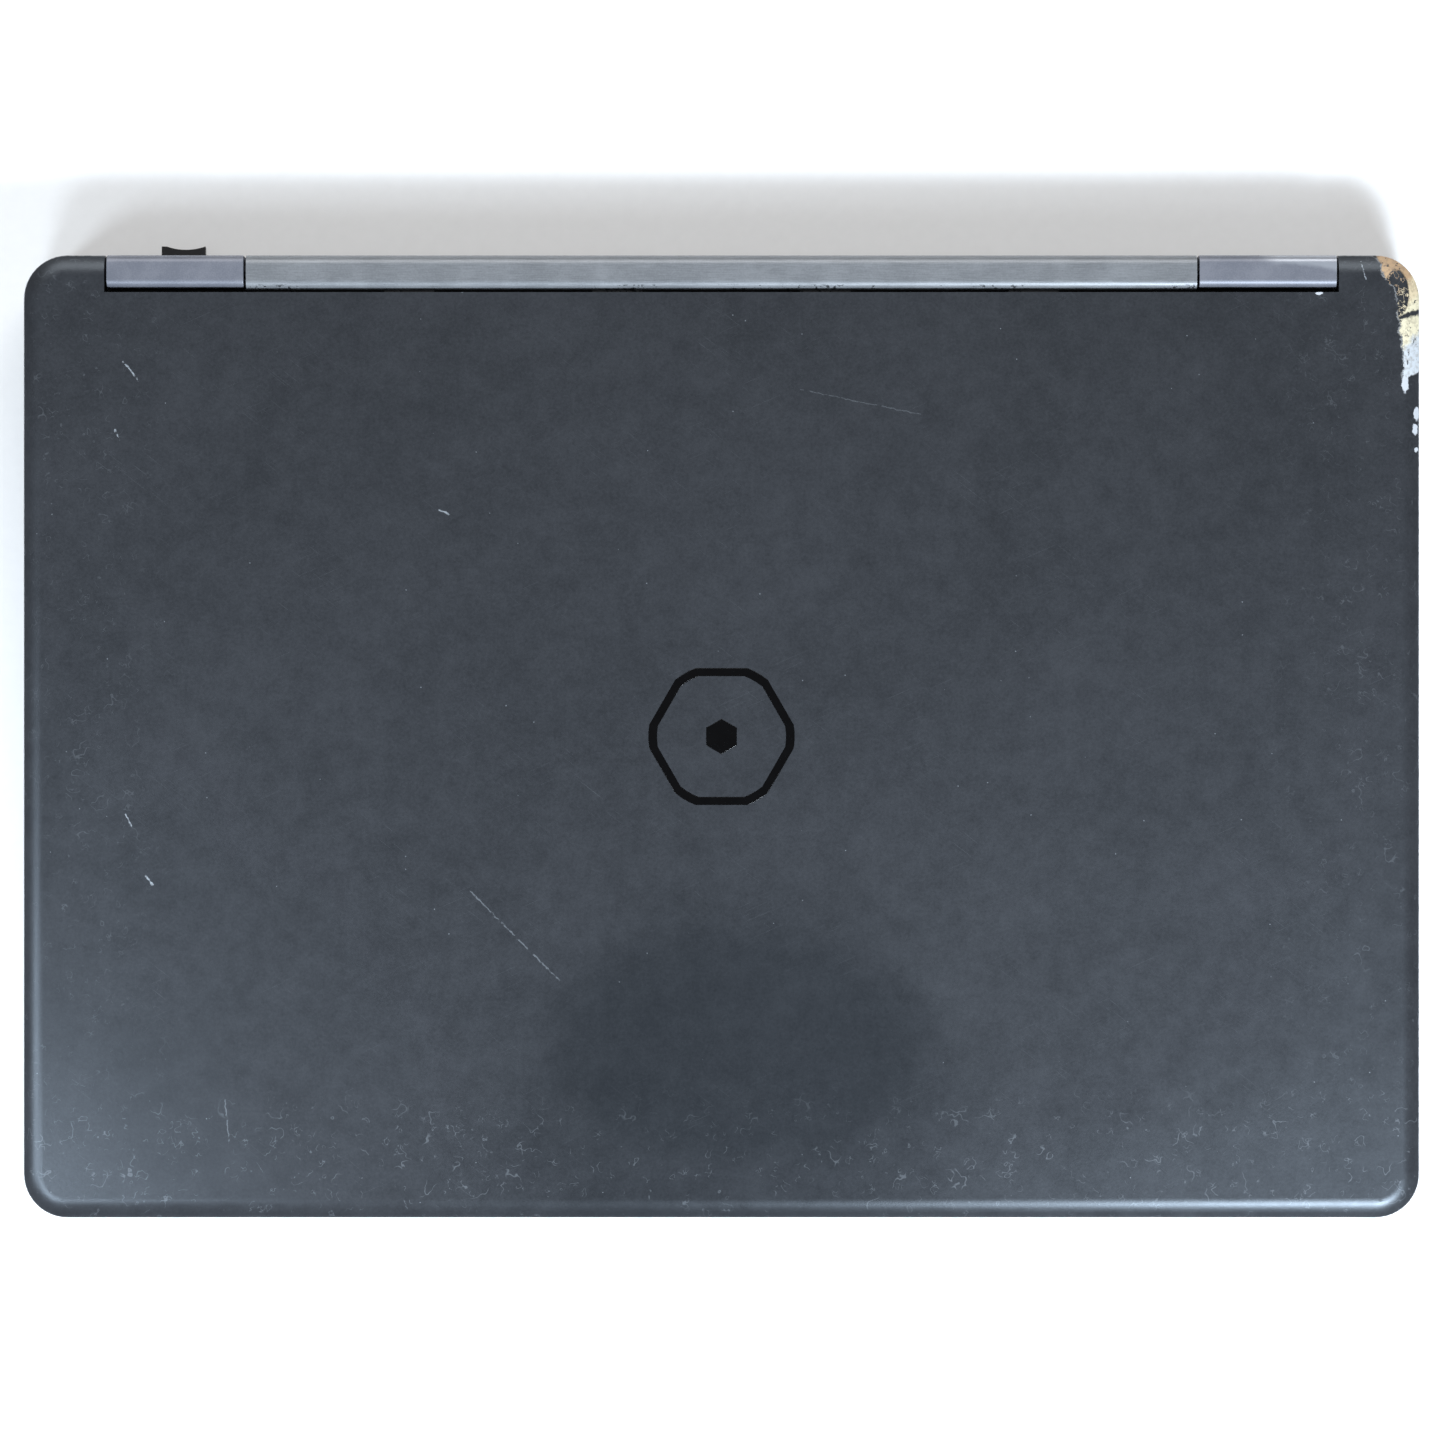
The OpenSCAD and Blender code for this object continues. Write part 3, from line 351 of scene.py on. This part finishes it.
def lid_coating():
    """Worn soft-touch coating of the lid: stains, rubbed patches, scratches and a peeled rear corner;
    the rubbed front patches are also darkened as painted shade.
    """
    g = Graph("lid_coating", Specular_Tint=(0.80, 0.90, 1.0, 1.0))
    flat = g.vec("MULTIPLY", g.at, (1, 1, 0))
    wobble = g.make("ShaderNodeTexNoise", {"Vector": g.at, "Scale": 1 / (1.2 * MM), "Detail": 2.0})
    shake = g.vec("SUBTRACT", wobble.outputs[1], (0.5, 0.5, 0.5))
    shake = g.vec("MULTIPLY", shake, (0.8 * MM, 0.8 * MM, 0))
    shaken = g.vec("ADD", flat, shake)

    # Stains, from hand-sized clouds to the grain of the coating
    clouds = g.noise(48 * MM, 4.0, 0.6)
    stains = g.noise(6 * MM, 4.0, 0.75, seed=2.0)
    grain = g.noise(0.75 * MM, 3.0, 0.85, seed=5.0)
    tone = g.add(g.mul(clouds, 0.28), g.add(g.mul(stains, 0.26), g.mul(grain, 0.46)))
    coat = g.blend(g.step(tone, 0.3, 0.7), LID_DARK, LID_PALE)

    # Hairlines in a few directions, white specks, and scribbles that are densest along the front
    hairs = g.most(g.streaks(24, 16, 0.10, 1.0, 0.07), g.streaks(-38, 11, 0.09, 2.0, 0.06))
    hairs = g.mul(hairs, g.step(g.noise(26 * MM, 3.0, seed=6.0), 0.45, 0.62))
    speck_cells = g.cells(3.4 * MM, seed=1.0)
    chosen = g.step(g.make("ShaderNodeSeparateColor", {0: speck_cells[1]}).outputs[0], 0.8, 0.82)
    specks = g.mul(g.step(speck_cells[0], 0.06, 0.025), chosen)
    near_sides = g.step(g.math("ABSOLUTE", g.x), 120 * MM, 155 * MM)
    front = g.add(g.step(g.y, -80 * MM, -98 * MM), g.mul(near_sides, 0.5))
    curls = g.most(squiggles(g, 3.0, 7, 0.45), squiggles(g, 4.0, 4.5, 0.5), squiggles(g, 5.0, 3, 0.5))
    curls = g.mul(curls, g.math("MINIMUM", front, 1.0))

    strokes = [g.mul(g.stroke(shaken, a, b, width), power) for a, b, width, power in LID_SCRATCHES]
    scratches = g.mul(g.most(*strokes), g.step(g.noise(1.1 * MM, 2.0, seed=13.0), 0.38, 0.56))
    marks = g.most(scratches, g.mul(hairs, 0.12), g.mul(specks, 0.45), g.mul(curls, 0.2))
    coat = g.blend(marks, coat, srgb(140, 146, 152))

    bare, rim, under = corner_wear(g, flat)
    chips = [chip(g, shaken, middle, size, 30.0 + k) for k, (middle, size) in enumerate(LID_CHIPS)]
    chips = g.most(*chips)
    coat = g.blend(g.mul(rim, 0.6), coat, srgb(150, 152, 154))
    coat = g.blend(chips, coat, srgb(186, 190, 196))
    # Palm patches at the front: real rubbed wear in the gloss, and painted shade in the colour
    palm_wear_and_painted_shade = g.add(g.mul(palm_mark(g, flat, (3, -88), (52, 46), 0.9), 0.6),
                    g.mul(palm_mark(g, flat, (6, -74), (45, 27), 0.4), 0.4))
    # Painted shade: darkens the coating where the palm patches lie
    coat = g.blend(g.mul(palm_wear_and_painted_shade, 0.4), coat, (0.009, 0.012, 0.015, 1))
    g.set("Base Color", g.blend(bare, coat, under))

    # Gloss: two palm-sized patches at the front are rubbed smoother, the middle one most
    palms = g.most(palm_wear_and_painted_shade, palm_mark(g, flat, (102, -69), (45, 26)))
    dull = g.add(g.level(stains, 0.28, 0.42), g.add(g.mul(palms, -0.02), g.mul(palm_wear_and_painted_shade, -0.07)))
    g.set("Roughness", g.add(dull, g.mul(bare, 0.2)))
    rough = g.mul(grain, g.level(palms, 0.55, 0.2))
    relief = g.add(rough, g.add(g.mul(g.most(bare, chips), -0.9), g.mul(marks, -0.25)))
    g.set("Normal", g.bump(relief, 0.035 * MM))
    return g


def gloss_black():
    """Polished black plastic with faint dust."""
    g = Graph("gloss_black", Specular_IOR_Level=0.3)
    dust = g.step(g.noise(0.25 * MM, 2.0, seed=2.0), 0.72, 0.8)
    g.set("Base Color", g.blend(g.mul(dust, 0.25), srgb(4, 4, 5), srgb(80, 82, 86)))
    g.set("Roughness", g.level(g.noise(3 * MM, 3.0), 0.12, 0.26))
    return g


def screen_surface():
    """Anti-glare surface of a display that is off, with a few smudges."""
    g = Graph("screen_surface", Specular_IOR_Level=0.35)
    smudge = g.step(g.noise(38 * MM, 4.0, 0.6), 0.5, 0.75)
    sparkle = g.noise(0.12 * MM, 1.0, seed=4.0)
    g.set("Base Color", g.blend(g.mul(smudge, 0.12), srgb(12, 13, 16), srgb(40, 43, 48)))
    g.set("Roughness", g.level(smudge, 0.32, 0.37))
    g.set("Normal", g.bump(sparkle, 0.002 * MM))
    return g


def printed_board():
    """Green solder mask with faint copper tracks and vias."""
    g = Graph("printed_board", Coat_Weight=0.3, Coat_Roughness=0.2)
    across = g.cells(1.1 * MM, at=g.place((6, 1, 1), 0), feature="DISTANCE_TO_EDGE")[0]
    tracks = g.step(across, 0.05, 0.09)
    vias = g.step(g.cells(2.1 * MM, seed=4.0)[0], 0.16, 0.12)
    green = g.blend(g.mul(tracks, 0.5), srgb(24, 74, 52), srgb(16, 56, 38))
    g.set("Base Color", g.blend(vias, green, srgb(168, 160, 120)))
    g.set("Roughness", g.level(g.noise(4 * MM, 2.0), 0.28, 0.45))
    g.set("Normal", g.bump(g.add(tracks, vias), 0.01 * MM))
    return g


def materials():
    made = {
        "lid_finish": lid_coating(),
        "silver_trim": silver_paint(),
        "cap_paint": cap_paint(),
        "badge": gloss_black(),
        "deck_finish": grained("deck_coating", srgb(46, 48, 52), 0.5, grain=0.3, depth=0.02),
        "bottom_finish": grained("bottom_plastic", srgb(35, 36, 39), 0.6, grain=0.6, depth=0.06),
        "key_plastic": grained("key_plastic", srgb(26, 27, 29), 0.46, 0.22, 0.012, polish=0.12),
        "button_plastic": grained("button_plastic", srgb(38, 40, 43), 0.42, 0.25, 0.012, polish=0.1),
        "touch_surface": grained("touch_surface", srgb(50, 52, 57), 0.38, 0.2, 0.006, polish=0.06),
        "bezel_plastic": grained("bezel_plastic", srgb(28, 29, 31), 0.5, grain=0.3, depth=0.02),
        "screen": screen_surface(),
        "rubber_black": grained("black_rubber", srgb(27, 27, 29), 0.78, grain=0.5, depth=0.05),
        "socket_steel": brushed("nickel", srgb(176, 178, 182), 0.3),
        "socket_plastic": grained("socket_plastic", srgb(20, 20, 22), 0.45, grain=0.25, depth=0.01),
        "steel": brushed("bare_steel", srgb(168, 170, 174), 0.32),
        "hinge_steel": brushed("black_oxide", srgb(38, 39, 42), 0.4),
        "plate_aluminium": brushed("sheet_aluminium", srgb(182, 184, 188), 0.36),
        "circuit_board": printed_board(),
        "copper": brushed("bare_copper", srgb(196, 128, 92), 0.3),
        "inner_plastic": grained("inner_plastic", srgb(30, 31, 34), 0.5, grain=0.4, depth=0.03),
        "light_pipe": grained("light_pipe", srgb(205, 208, 212), 0.25, spread=0.05, depth=0.0),
        "legend": grained("legend_ink", srgb(196, 199, 203), 0.5, grain=0.15, depth=0.0, spread=0.06),
        "gold": brushed("gold_contact", srgb(212, 176, 98), 0.25),
    }
    return {name: g.material for name, g in made.items()}


# ---------- Mesh helpers ----------


def piece(name, body, material, mesh, sharp=32):
    """Makes an object of a bmesh: smooth shading but for edges sharper than the given degrees."""
    bmesh.ops.recalc_face_normals(mesh, faces=mesh.faces)
    for face in mesh.faces:
        face.smooth = True
    for edge in mesh.edges:
        edge.smooth = len(edge.link_faces) == 2 and edge.calc_face_angle(0.0) < math.radians(sharp)
    data = bpy.data.meshes.new(name)
    mesh.to_mesh(data)
    mesh.free()
    made = bpy.data.objects.new(name, data)
    bpy.context.scene.collection.objects.link(made)
    data.materials.append(material)
    made.modifiers.new("even_shading", "WEIGHTED_NORMAL").keep_sharp = True
    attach(made, body)
    return made


def rounded_outline(low, high, radius, steps=6, every=1.4 * MM):
    """Points round a rectangle with round corners, anticlockwise, with points along the sides too."""
    points = []
    for quarter in range(4):
        right = quarter in (0, 3)
        top = quarter in (0, 1)
        cx = high[0] - radius if right else low[0] + radius
        cy = high[1] - radius if top else low[1] + radius
        for i in range(steps + 1):
            a = math.radians(90 * quarter + 90 * i / steps)
            points.append(Vector((cx + radius * math.cos(a), cy + radius * math.sin(a))))
    dense = []
    for here, there in zip(points, points[1:] + points[:1]):
        parts = max(1, round((there - here).length / every))
        dense += [here.lerp(there, i / parts) for i in range(parts)]
    return dense


def bridge(mesh, rings):
    """Joins rings of vertices, each as long as the next, with quads."""
    for below, above in zip(rings, rings[1:]):
        for i in range(len(below)):
            j = (i + 1) % len(below)
            mesh.faces.new((below[i], below[j], above[j], above[i]))


def solids(node):
    """Boxes of a CAD node's separate solids, sorted from the left, then from the rear."""
    data = NODES[node].data
    keys = {}
    index = [keys.setdefault(tuple(round(c, 6) for c in v.co), len(keys)) for v in data.vertices]
    root = list(range(len(keys)))

    def find(i):
        while root[i] != i:
            root[i] = root[root[i]]
            i = root[i]
        return i

    for polygon in data.polygons:
        first = find(index[polygon.vertices[0]])
        for v in polygon.vertices[1:]:
            root[find(index[v])] = first
    groups = {}
    for place, i in keys.items():
        groups.setdefault(find(i), []).append(place)
    boxes = [(Vector(np.min(g, axis=0)), Vector(np.max(g, axis=0))) for g in groups.values()]
    return sorted(boxes, key=lambda b: (round(b[0].x, 4), -b[0].y))


def refine(node, width, sharp=34, limit=None):
    """Replaces a CAD node by the same shape with its hard edges rounded over."""
    mesh = bmesh.new()
    mesh.from_mesh(NODES[node].data)
    bmesh.ops.remove_doubles(mesh, verts=mesh.verts, dist=2e-6)
    bmesh.ops.dissolve_limit(mesh, angle_limit=math.radians(0.6), verts=mesh.verts, edges=mesh.edges)
    least = math.radians(sharp)
    hard = [e for e in mesh.edges if len(e.link_faces) == 2 and e.calc_face_angle(0) > least]
    if limit:
        hard = [e for e in hard if limit(e)]
    bmesh.ops.bevel(mesh, geom=hard, offset=width * MM, segments=2, profile=0.5, affect="EDGES",
                    clamp_overlap=True, harden_normals=False)
    made = piece(node + "_finished", BODY_OF[node], finish_of(node), mesh)
    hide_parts(node)
    return made


FINISH = materials()
# Nodes whose finish differs a little from the rest of their slot
OWN_FINISH = {"hinge_cap_left": "cap_paint", "hinge_cap_right": "cap_paint"}


def finish_of(node):
    return FINISH[OWN_FINISH.get(node, SLOT_OF[node])]


for name, node in NODES.items():
    node.data.materials.clear()
    node.data.materials.append(finish_of(name))


# ---------- Keyboard ----------

DISH = 0.16 * MM
CAP_CORNER = 1.2 * MM
# Rings of a key cap from under its top round its skirt: inset and depth below the top, in millimetres
CAP_RINGS = [(0.95, 0.8), (0.95, 2.0), (0.25, 2.0), (0.0, 1.9), (0.0, 1.1), (0.12, 0.6), (0.34, 0.28),
             (0.62, 0.09), (0.95, 0.0)]
# Rings of its top, as shares of the way from the middle
CAP_TOP_RINGS = (0.72, 0.46, 0.22)


def cap_top(x, y, low, high):
    """Height of a key cap's dished top at a place on it."""
    across = (2 * x - low.x - high.x) / (high.x - low.x)
    along = (2 * y - low.y - high.y) / (high.y - low.y)
    return high.z - DISH * max(0.0, 1 - across * across) * max(0.0, 1 - along ** 4)


def clear_of_stick(point):
    """Moves a point of an outline out of the round gap that the pointing stick stands in."""
    away = point - STICK.xy
    if away.length < STICK_R:
        return STICK.xy + away.normalized() * STICK_R
    return point


def key_cap(mesh, low, high):
    """Adds one cap: hollow underside, straight skirt, rounded shoulder and dished top."""
    middle = (low.xy + high.xy) / 2
    outline = [clear_of_stick(p) for p in rounded_outline(low, high, CAP_CORNER)]
    rings = []
    for inset, drop in CAP_RINGS:
        ring = []
        for p in outline:
            reach = (p - middle).length
            q = p + (middle - p) * (inset * MM / reach)
            z = high.z - drop * MM if drop > 0.5 else cap_top(q.x, q.y, low, high) - drop * MM
            ring.append(mesh.verts.new((q.x, q.y, max(low.z, z))))
        rings.append(ring)
    shoulder = rings[-1]
    for share in CAP_TOP_RINGS:
        ring = []
        for v in shoulder:
            q = middle.lerp(v.co.xy, share)
            ring.append(mesh.verts.new((q.x, q.y, cap_top(q.x, q.y, low, high))))
        rings.append(ring)
    bridge(mesh, rings)
    mesh.faces.new(rings[-1])
    mesh.faces.new(list(reversed(rings[0])))


def word(text, size):
    """Mesh of a word, lying flat with its lower left corner at the origin."""
    curve = bpy.data.curves.new("word", "FONT")
    curve.body = text
    curve.size = size * MM
    curve.resolution_u = 2
    curve.extrude = 0.012 * MM
    holder = bpy.data.objects.new("word", curve)
    bpy.context.scene.collection.objects.link(holder)
    data = bpy.data.meshes.new_from_object(holder.evaluated_get(bpy.context.evaluated_depsgraph_get()))
    bpy.data.objects.remove(holder)
    bpy.data.curves.remove(curve)
    return data


def legend(mesh, text, low, high):
    """Prints a key's letters near its upper left corner, on the dished top."""
    size = 3.6 if len(text) == 1 else 2.3
    if high.y - low.y < 11 * MM:
        size = 2.2
    data = word(text, size)
    start = len(mesh.verts)
    mesh.from_mesh(data)
    mesh.verts.ensure_lookup_table()
    for v in mesh.verts[start:]:
        v.co.x += low.x + 2.2 * MM
        v.co.y += high.y - (1.6 + size * 0.72) * MM
        v.co.z += cap_top(v.co.x, v.co.y, low, high) + 0.006 * MM
    bpy.data.meshes.remove(data)


def arrow(mesh, low, high, turn):
    """Small triangle in the middle of an arrow key."""
    middle = (low.xy + high.xy) / 2
    corners = [middle + Vector((math.cos(a), math.sin(a))) * 1.1 * MM
               for a in (math.radians(turn + 120 * k) for k in range(3))]
    base, top = [[mesh.verts.new((*c, high.z - DISH + lift * MM)) for c in corners]
                 for lift in (-0.02, 0.02)]
    mesh.faces.new(top)
    mesh.faces.new(list(reversed(base)))
    bridge(mesh, [base, top])


def keyboard():
    for node, labels in KEY_ROWS.items():
        caps = bmesh.new()
        print_ = bmesh.new()
        for k, ((low, high), label) in enumerate(zip(solids(node), labels)):
            key_cap(caps, low, high)
            if label:
                legend(print_, label, low, high)
            if node == "arrow_keys" and k in (1, 2, 3, 5):
                arrow(print_, low, high, {1: 180, 2: 90, 3: 270, 5: 0}[k])
        made = piece(node + "_caps", BODY_OF[node], FINISH["key_plastic"], caps)
        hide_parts(node)
        if print_.verts:
            piece(node + "_legends", BODY_OF[node], FINISH["legend"], print_)
        else:
            print_.free()


keyboard()


# ---------- Casings, buttons and trim ----------


BADGE_REACH = 20 * MM


def outside_badge(edge):
    """True for the edges that aren't part of the pocket that the badge sits in."""
    return max(v.co.xy.length for v in edge.verts) > BADGE_REACH



# Width of the rounding on each node's hard edges, in millimetres
EDGE_WIDTHS = {
    "lid_cover": 0.18, "lid_trim": 0.3, "hinge_cap_left": 0.35, "hinge_cap_right": 0.35,
    "lid_emblem": 0.1, "palm_rest": 0.14, "bottom_cover": 0.16, "touchpad": 0.15, "power_button": 0.2,
    "display_bezel": 0.2, "pad_button_left": 0.3, "pad_button_right": 0.3, "stick_button_left": 0.3,
    "stick_button_middle": 0.3, "stick_button_right": 0.3, "keyboard_lattice": 0.08,
    "rubber_feet": 0.35, "lid_bumpers": 0.12, "network_jaw": 0.12, "network_jack": 0.1,
    "vga_socket": 0.08, "hinge_bracket_left": 0.1, "hinge_bracket_right": 0.1,
}

for node, width in EDGE_WIDTHS.items():
    refine(node, width, limit=outside_badge if node == "lid_cover" else None)


# ---------- Small pieces ----------

# Sections of turned pieces: radius and height in millimetres
SCREW_HEAD = [(0, 0.45), (0.5, 0.42), (1.0, 0.12), (1.15, 0.0), (2.05, 0.0), (2.3, 0.16), (2.3, 0.5),
              (1.0, 0.75)]
STICK_CAP = [(0, -0.42), (1.0, -0.36), (2.0, -0.14), (2.6, -0.02), (3.2, -0.05), (3.7, -0.3),
             (3.9, -0.8), (3.9, -1.5), (3.6, -1.8), (2.2, -1.8)]
CAMERA_WINDOW = [(0, -0.08), (0.7, -0.06), (1.0, 0.0), (1.2, -0.08), (1.8, -0.1), (1.97, 0.0),
                 (1.97, 0.7), (0, 0.7)]
CAMERA_LIGHT = [(0, -0.06), (0.45, -0.04), (0.64, 0.04), (0.64, 0.7), (0, 0.7)]
# The pin and the mouth of the power jack, and the mouth of the headset jack: height is out of the wall
SLEEVES = {
    "power_jack": [[(0, -2.3), (0.6, -2.3), (1.06, -2.7), (1.06, -9.0), (0, -9.0)],
                   [(2.82, -0.4), (2.82, -10.0), (2.6, -10.0), (2.6, -0.6), (2.82, -0.4)]],
    "headset_jack": [[(1.78, -0.25), (1.78, -12.0), (1.55, -12.0), (1.55, -0.5), (1.78, -0.25)]],
}
# Rings of dimples on the stick's cap: radius, count and height
DIMPLES = [(1.2, 8, -0.33), (1.9, 14, -0.17), (2.6, 20, -0.03)]
CAMERA_LIGHT_X = 7 * MM


def lathe(mesh, middle, profile, steps=32, turn=None):
    """Adds a turned shape from its section; one that ends where it starts is a closed ring."""
    turn = turn or (lambda v: v)
    rings = []
    for radius, height in profile:
        if radius == 0:
            rings.append([mesh.verts.new(middle + turn(Vector((0, 0, height * MM))))])
            continue
        angles = [2 * math.pi * i / steps for i in range(steps)]
        round_it = [Vector((radius * math.cos(a), radius * math.sin(a), height)) * MM for a in angles]
        rings.append([mesh.verts.new(middle + turn(v)) for v in round_it])
    if profile[0] == profile[-1]:
        bmesh.ops.delete(mesh, geom=rings[-1], context="VERTS")
        rings[-1] = rings[0]
    for below, above in zip(rings, rings[1:]):
        for i in range(steps):
            j = (i + 1) % steps
            corners = [below[i % len(below)], below[j % len(below)],
                       above[j % len(above)], above[i % len(above)]]
            mesh.faces.new(dict.fromkeys(corners))


def brick(mesh, low, high, edge=0.1):
    """Adds a box with bevelled edges between two corners, in metres."""
    part = bmesh.new()
    bmesh.ops.create_cube(part, size=1.0)
    size = high - low
    for v in part.verts:
        v.co = (low + high) / 2 + Vector(v.co[i] * size[i] for i in range(3))
    round_r = min(edge * MM, min(size) * 0.3)
    bmesh.ops.bevel(part, geom=part.edges[:], offset=round_r, segments=2, affect="EDGES")
    data = bpy.data.meshes.new("brick")
    part.to_mesh(data)
    part.free()
    mesh.from_mesh(data)
    bpy.data.meshes.remove(data)


def screw_heads():
    """Cross-recessed heads in place of the plain ones, each over its own CAD screw."""
    mesh = bmesh.new()
    for low, high in solids("case_screws"):
        middle = Vector(((low.x + high.x) / 2, (low.y + high.y) / 2, low.z))
        length = (high.z - low.z) / MM
        lathe(mesh, middle, [*SCREW_HEAD, (1.0, length), (0, length)], 24)
        for quarter in range(4):
            a = math.pi / 2 * quarter + math.pi / 4
            out = Vector((math.cos(a), math.sin(a), 0)) * 0.85 * MM
            near = middle + out - Vector((0.22, 0.22, -0.05)) * MM
            far = middle + out + Vector((0.22, 0.22, 0.4)) * MM
            brick(mesh, near, far)
    made = piece("case_screws_crossed", BODY_OF["case_screws"], FINISH["steel"], mesh)
    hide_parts("case_screws")


def stick_cap():
    """Soft cap of the pointing stick: a shallow dish with rings of fine dimples on its rim."""
    low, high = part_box("pointing_stick")
    mesh = bmesh.new()
    top = Vector((STICK.x, STICK.y, high.z))
    stem = (low.z - high.z) / MM
    lathe(mesh, top, [*STICK_CAP, (2.2, stem), (0, stem)], 40)
    for ring, (radius, count, height) in enumerate(DIMPLES):
        for i in range(count):
            a = 2 * math.pi * (i + 0.5 * (ring % 2)) / count
            dot = top + Vector((radius * math.cos(a), radius * math.sin(a), height)) * MM
            lathe(mesh, dot, [(0, 0.03), (0.14, 0.0), (0.2, -0.1), (0, -0.12)], 8)
    body = BODY_OF["pointing_stick"]
    made = piece("pointing_stick_cap", body, FINISH["rubber_black"], mesh)
    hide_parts("pointing_stick")


def camera_lens():
    """Glossy window over the camera and a light pipe beside it, in the holes of the bezel."""
    low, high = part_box("camera_module")
    y = (low.y + high.y) / 2
    window = bmesh.new()
    lathe(window, Vector((0, y, low.z)), CAMERA_WINDOW, 40)
    piece("camera_window", BODY_OF["camera_module"], FINISH["badge"], window)
    pipe = bmesh.new()
    lathe(pipe, Vector((CAMERA_LIGHT_X, y, low.z)), CAMERA_LIGHT, 20)
    piece("camera_light", BODY_OF["camera_module"], FINISH["light_pipe"], pipe)


def wall_frame(low, high):
    """Middle of a socket's mouth, and the axes along its wall, out of it and up."""
    middle = (low + high) / 2
    up = Vector((0, 0, 1))
    if high.y > HALF_D - 3 * MM:
        return Vector((middle.x, HALF_D, middle.z)), (Vector((-1, 0, 0)), Vector((0, 1, 0)), up)
    side = 1 if middle.x > 0 else -1
    mouth = Vector((side * HALF_W, middle.y, middle.z))
    return mouth, (Vector((0, side, 0)), Vector((side, 0, 0)), up)


def bar(mesh, frame_at, start, end, width, thick):
    """Adds a flat bar between two places given in millimetres along the wall, out of it and up."""
    origin, (along, out, up) = frame_at
    a, b = [origin + (along * p[0] + out * p[1] + up * p[2]) * MM for p in (start, end)]
    side = along * width * MM / 2
    rise = side.cross(b - a).normalized() * thick * MM / 2
    corners = (side + rise, -side + rise, -side - rise, side - rise)
    rings = [[mesh.verts.new(end + corner) for corner in corners] for end in (a, b)]
    made = [mesh.faces.new(rings[0]), mesh.faces.new(list(reversed(rings[1])))]
    bridge(mesh, rings)
    edges = {e for f in made for e in f.edges}
    round_r = min(width, thick) * 0.2 * MM
    bmesh.ops.bevel(mesh, geom=list(edges), offset=round_r, segments=1, affect="EDGES")


def socket_details():
    """Gold contacts, dark tongues and steel sleeves inside the sockets."""
    gold, tongues, sleeves = bmesh.new(), bmesh.new(), bmesh.new()
    for low, high in solids("usb_sockets"):
        here = wall_frame(low, high)
        bar(tongues, here, (0, -12.8, 0.9), (0, -1.9, 0.9), 11.3, 2.0)
        for u in (-3.5, -1.0, 1.0, 3.5):
            bar(gold, here, (u, -9.0, -0.12), (u, -2.6, -0.12), 1.0, 0.12)
    here = wall_frame(*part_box("hdmi_socket"))
    bar(tongues, here, (0, -10.3, 0.2), (0, -1.9, 0.2), 12.0, 1.2)
    for k in range(9):
        bar(gold, here, (k - 4.0, -8.0, 0.82), (k - 4.0, -2.4, 0.82), 0.45, 0.08)
    here = wall_frame(*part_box("network_jack"))
    for k in range(8):
        bar(gold, here, (1.02 * (k - 3.5), -4.6, 3.1), (1.02 * (k - 3.5), -13.2, 0.4), 0.45, 0.25)
    for node, profiles in SLEEVES.items():
        origin, (along, out, up) = wall_frame(*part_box(node))
        for profile in profiles:
            lathe(sleeves, origin, profile, 32, lambda v: along * v.x + out * v.z + up * v.y)
    body = BODY_OF["usb_sockets"]
    piece("socket_contacts", body, FINISH["gold"], gold)
    piece("socket_tongues", body, FINISH["socket_plastic"], tongues)
    piece("socket_sleeves", body, FINISH["socket_steel"], sleeves)


screw_heads()
stick_cap()
camera_lens()
socket_details()


# ---------- Stage ----------

WINDOW_BLUE = (0.80, 0.90, 1.0)
# Studio lights: place in metres, size in metres, power in watts and colour; all face the laptop
LIGHTS = {
    "corner_left": ((-0.24, -0.18, 0.28), (0.10, 0.10), 0.72, WINDOW_BLUE),
    "side_left": ((-0.42, -0.12, 0.35), (0.10, 0.15), 0.90, WINDOW_BLUE),
    "near_right": ((0.30, -0.30, 0.42), (0.12, 0.12), 1.50, WINDOW_BLUE),
    "front_right": ((0.24, -0.42, 0.50), (0.20, 0.10), 6.0, WINDOW_BLUE),
    "back": ((0.0, 1.1, 1.0), (1.8, 0.7), 18.0, (1.0, 1.0, 1.0)),
}
WORLD = 0.12


def soft_box(name, place, size, power, color):
    light = bpy.data.lights.new(name, "AREA")
    light.shape = "RECTANGLE"
    light.size, light.size_y = size
    light.energy = power
    light.color = color
    holder = bpy.data.objects.new(name, light)
    holder.location = place
    holder.rotation_euler = (-Vector(place)).to_track_quat("-Z", "Y").to_euler()
    holder.visible_camera = False
    bpy.context.scene.collection.objects.link(holder)


def stage():
    floor = bmesh.new()
    bmesh.ops.create_grid(floor, x_segments=2, y_segments=2, size=4)
    data = bpy.data.meshes.new("floor")
    floor.to_mesh(data)
    floor.free()
    g = Graph("pale_floor", Roughness=0.9)
    speckle = g.noise(3 * MM, 3.0, 0.6)
    g.set("Base Color", g.blend(speckle, srgb(244, 244, 244), srgb(250, 250, 250)))
    data.materials.append(g.material)
    made = bpy.data.objects.new("floor", data)
    bpy.context.scene.collection.objects.link(made)
    world = bpy.data.worlds.new("studio")
    world.use_nodes = True
    background = world.node_tree.nodes["Background"]
    background.inputs["Color"].default_value = (1, 1, 1, 1)
    background.inputs["Strength"].default_value = WORLD
    bpy.context.scene.world = world
    bpy.context.scene.view_settings.view_transform = "Standard"
    for name, setting in LIGHTS.items():
        soft_box(name, *setting)


# The camera looks straight down. Its view is 347 mm wide at the height of the lid's widest line.
VIEW_W = 347.0 * MM
LENS = 120.0
SENSOR = 36.0
WIDEST_Z = LID_TOP - 2.4 * MM


def camera():
    data = bpy.data.cameras.new("camera")
    data.lens = LENS
    data.sensor_width = SENSOR
    made = bpy.data.objects.new("camera", data)
    made.location = (0.24 * MM, 3.36 * MM, WIDEST_Z + VIEW_W * LENS / SENSOR)
    bpy.context.scene.collection.objects.link(made)
    bpy.context.scene.camera = made


stage()
camera()
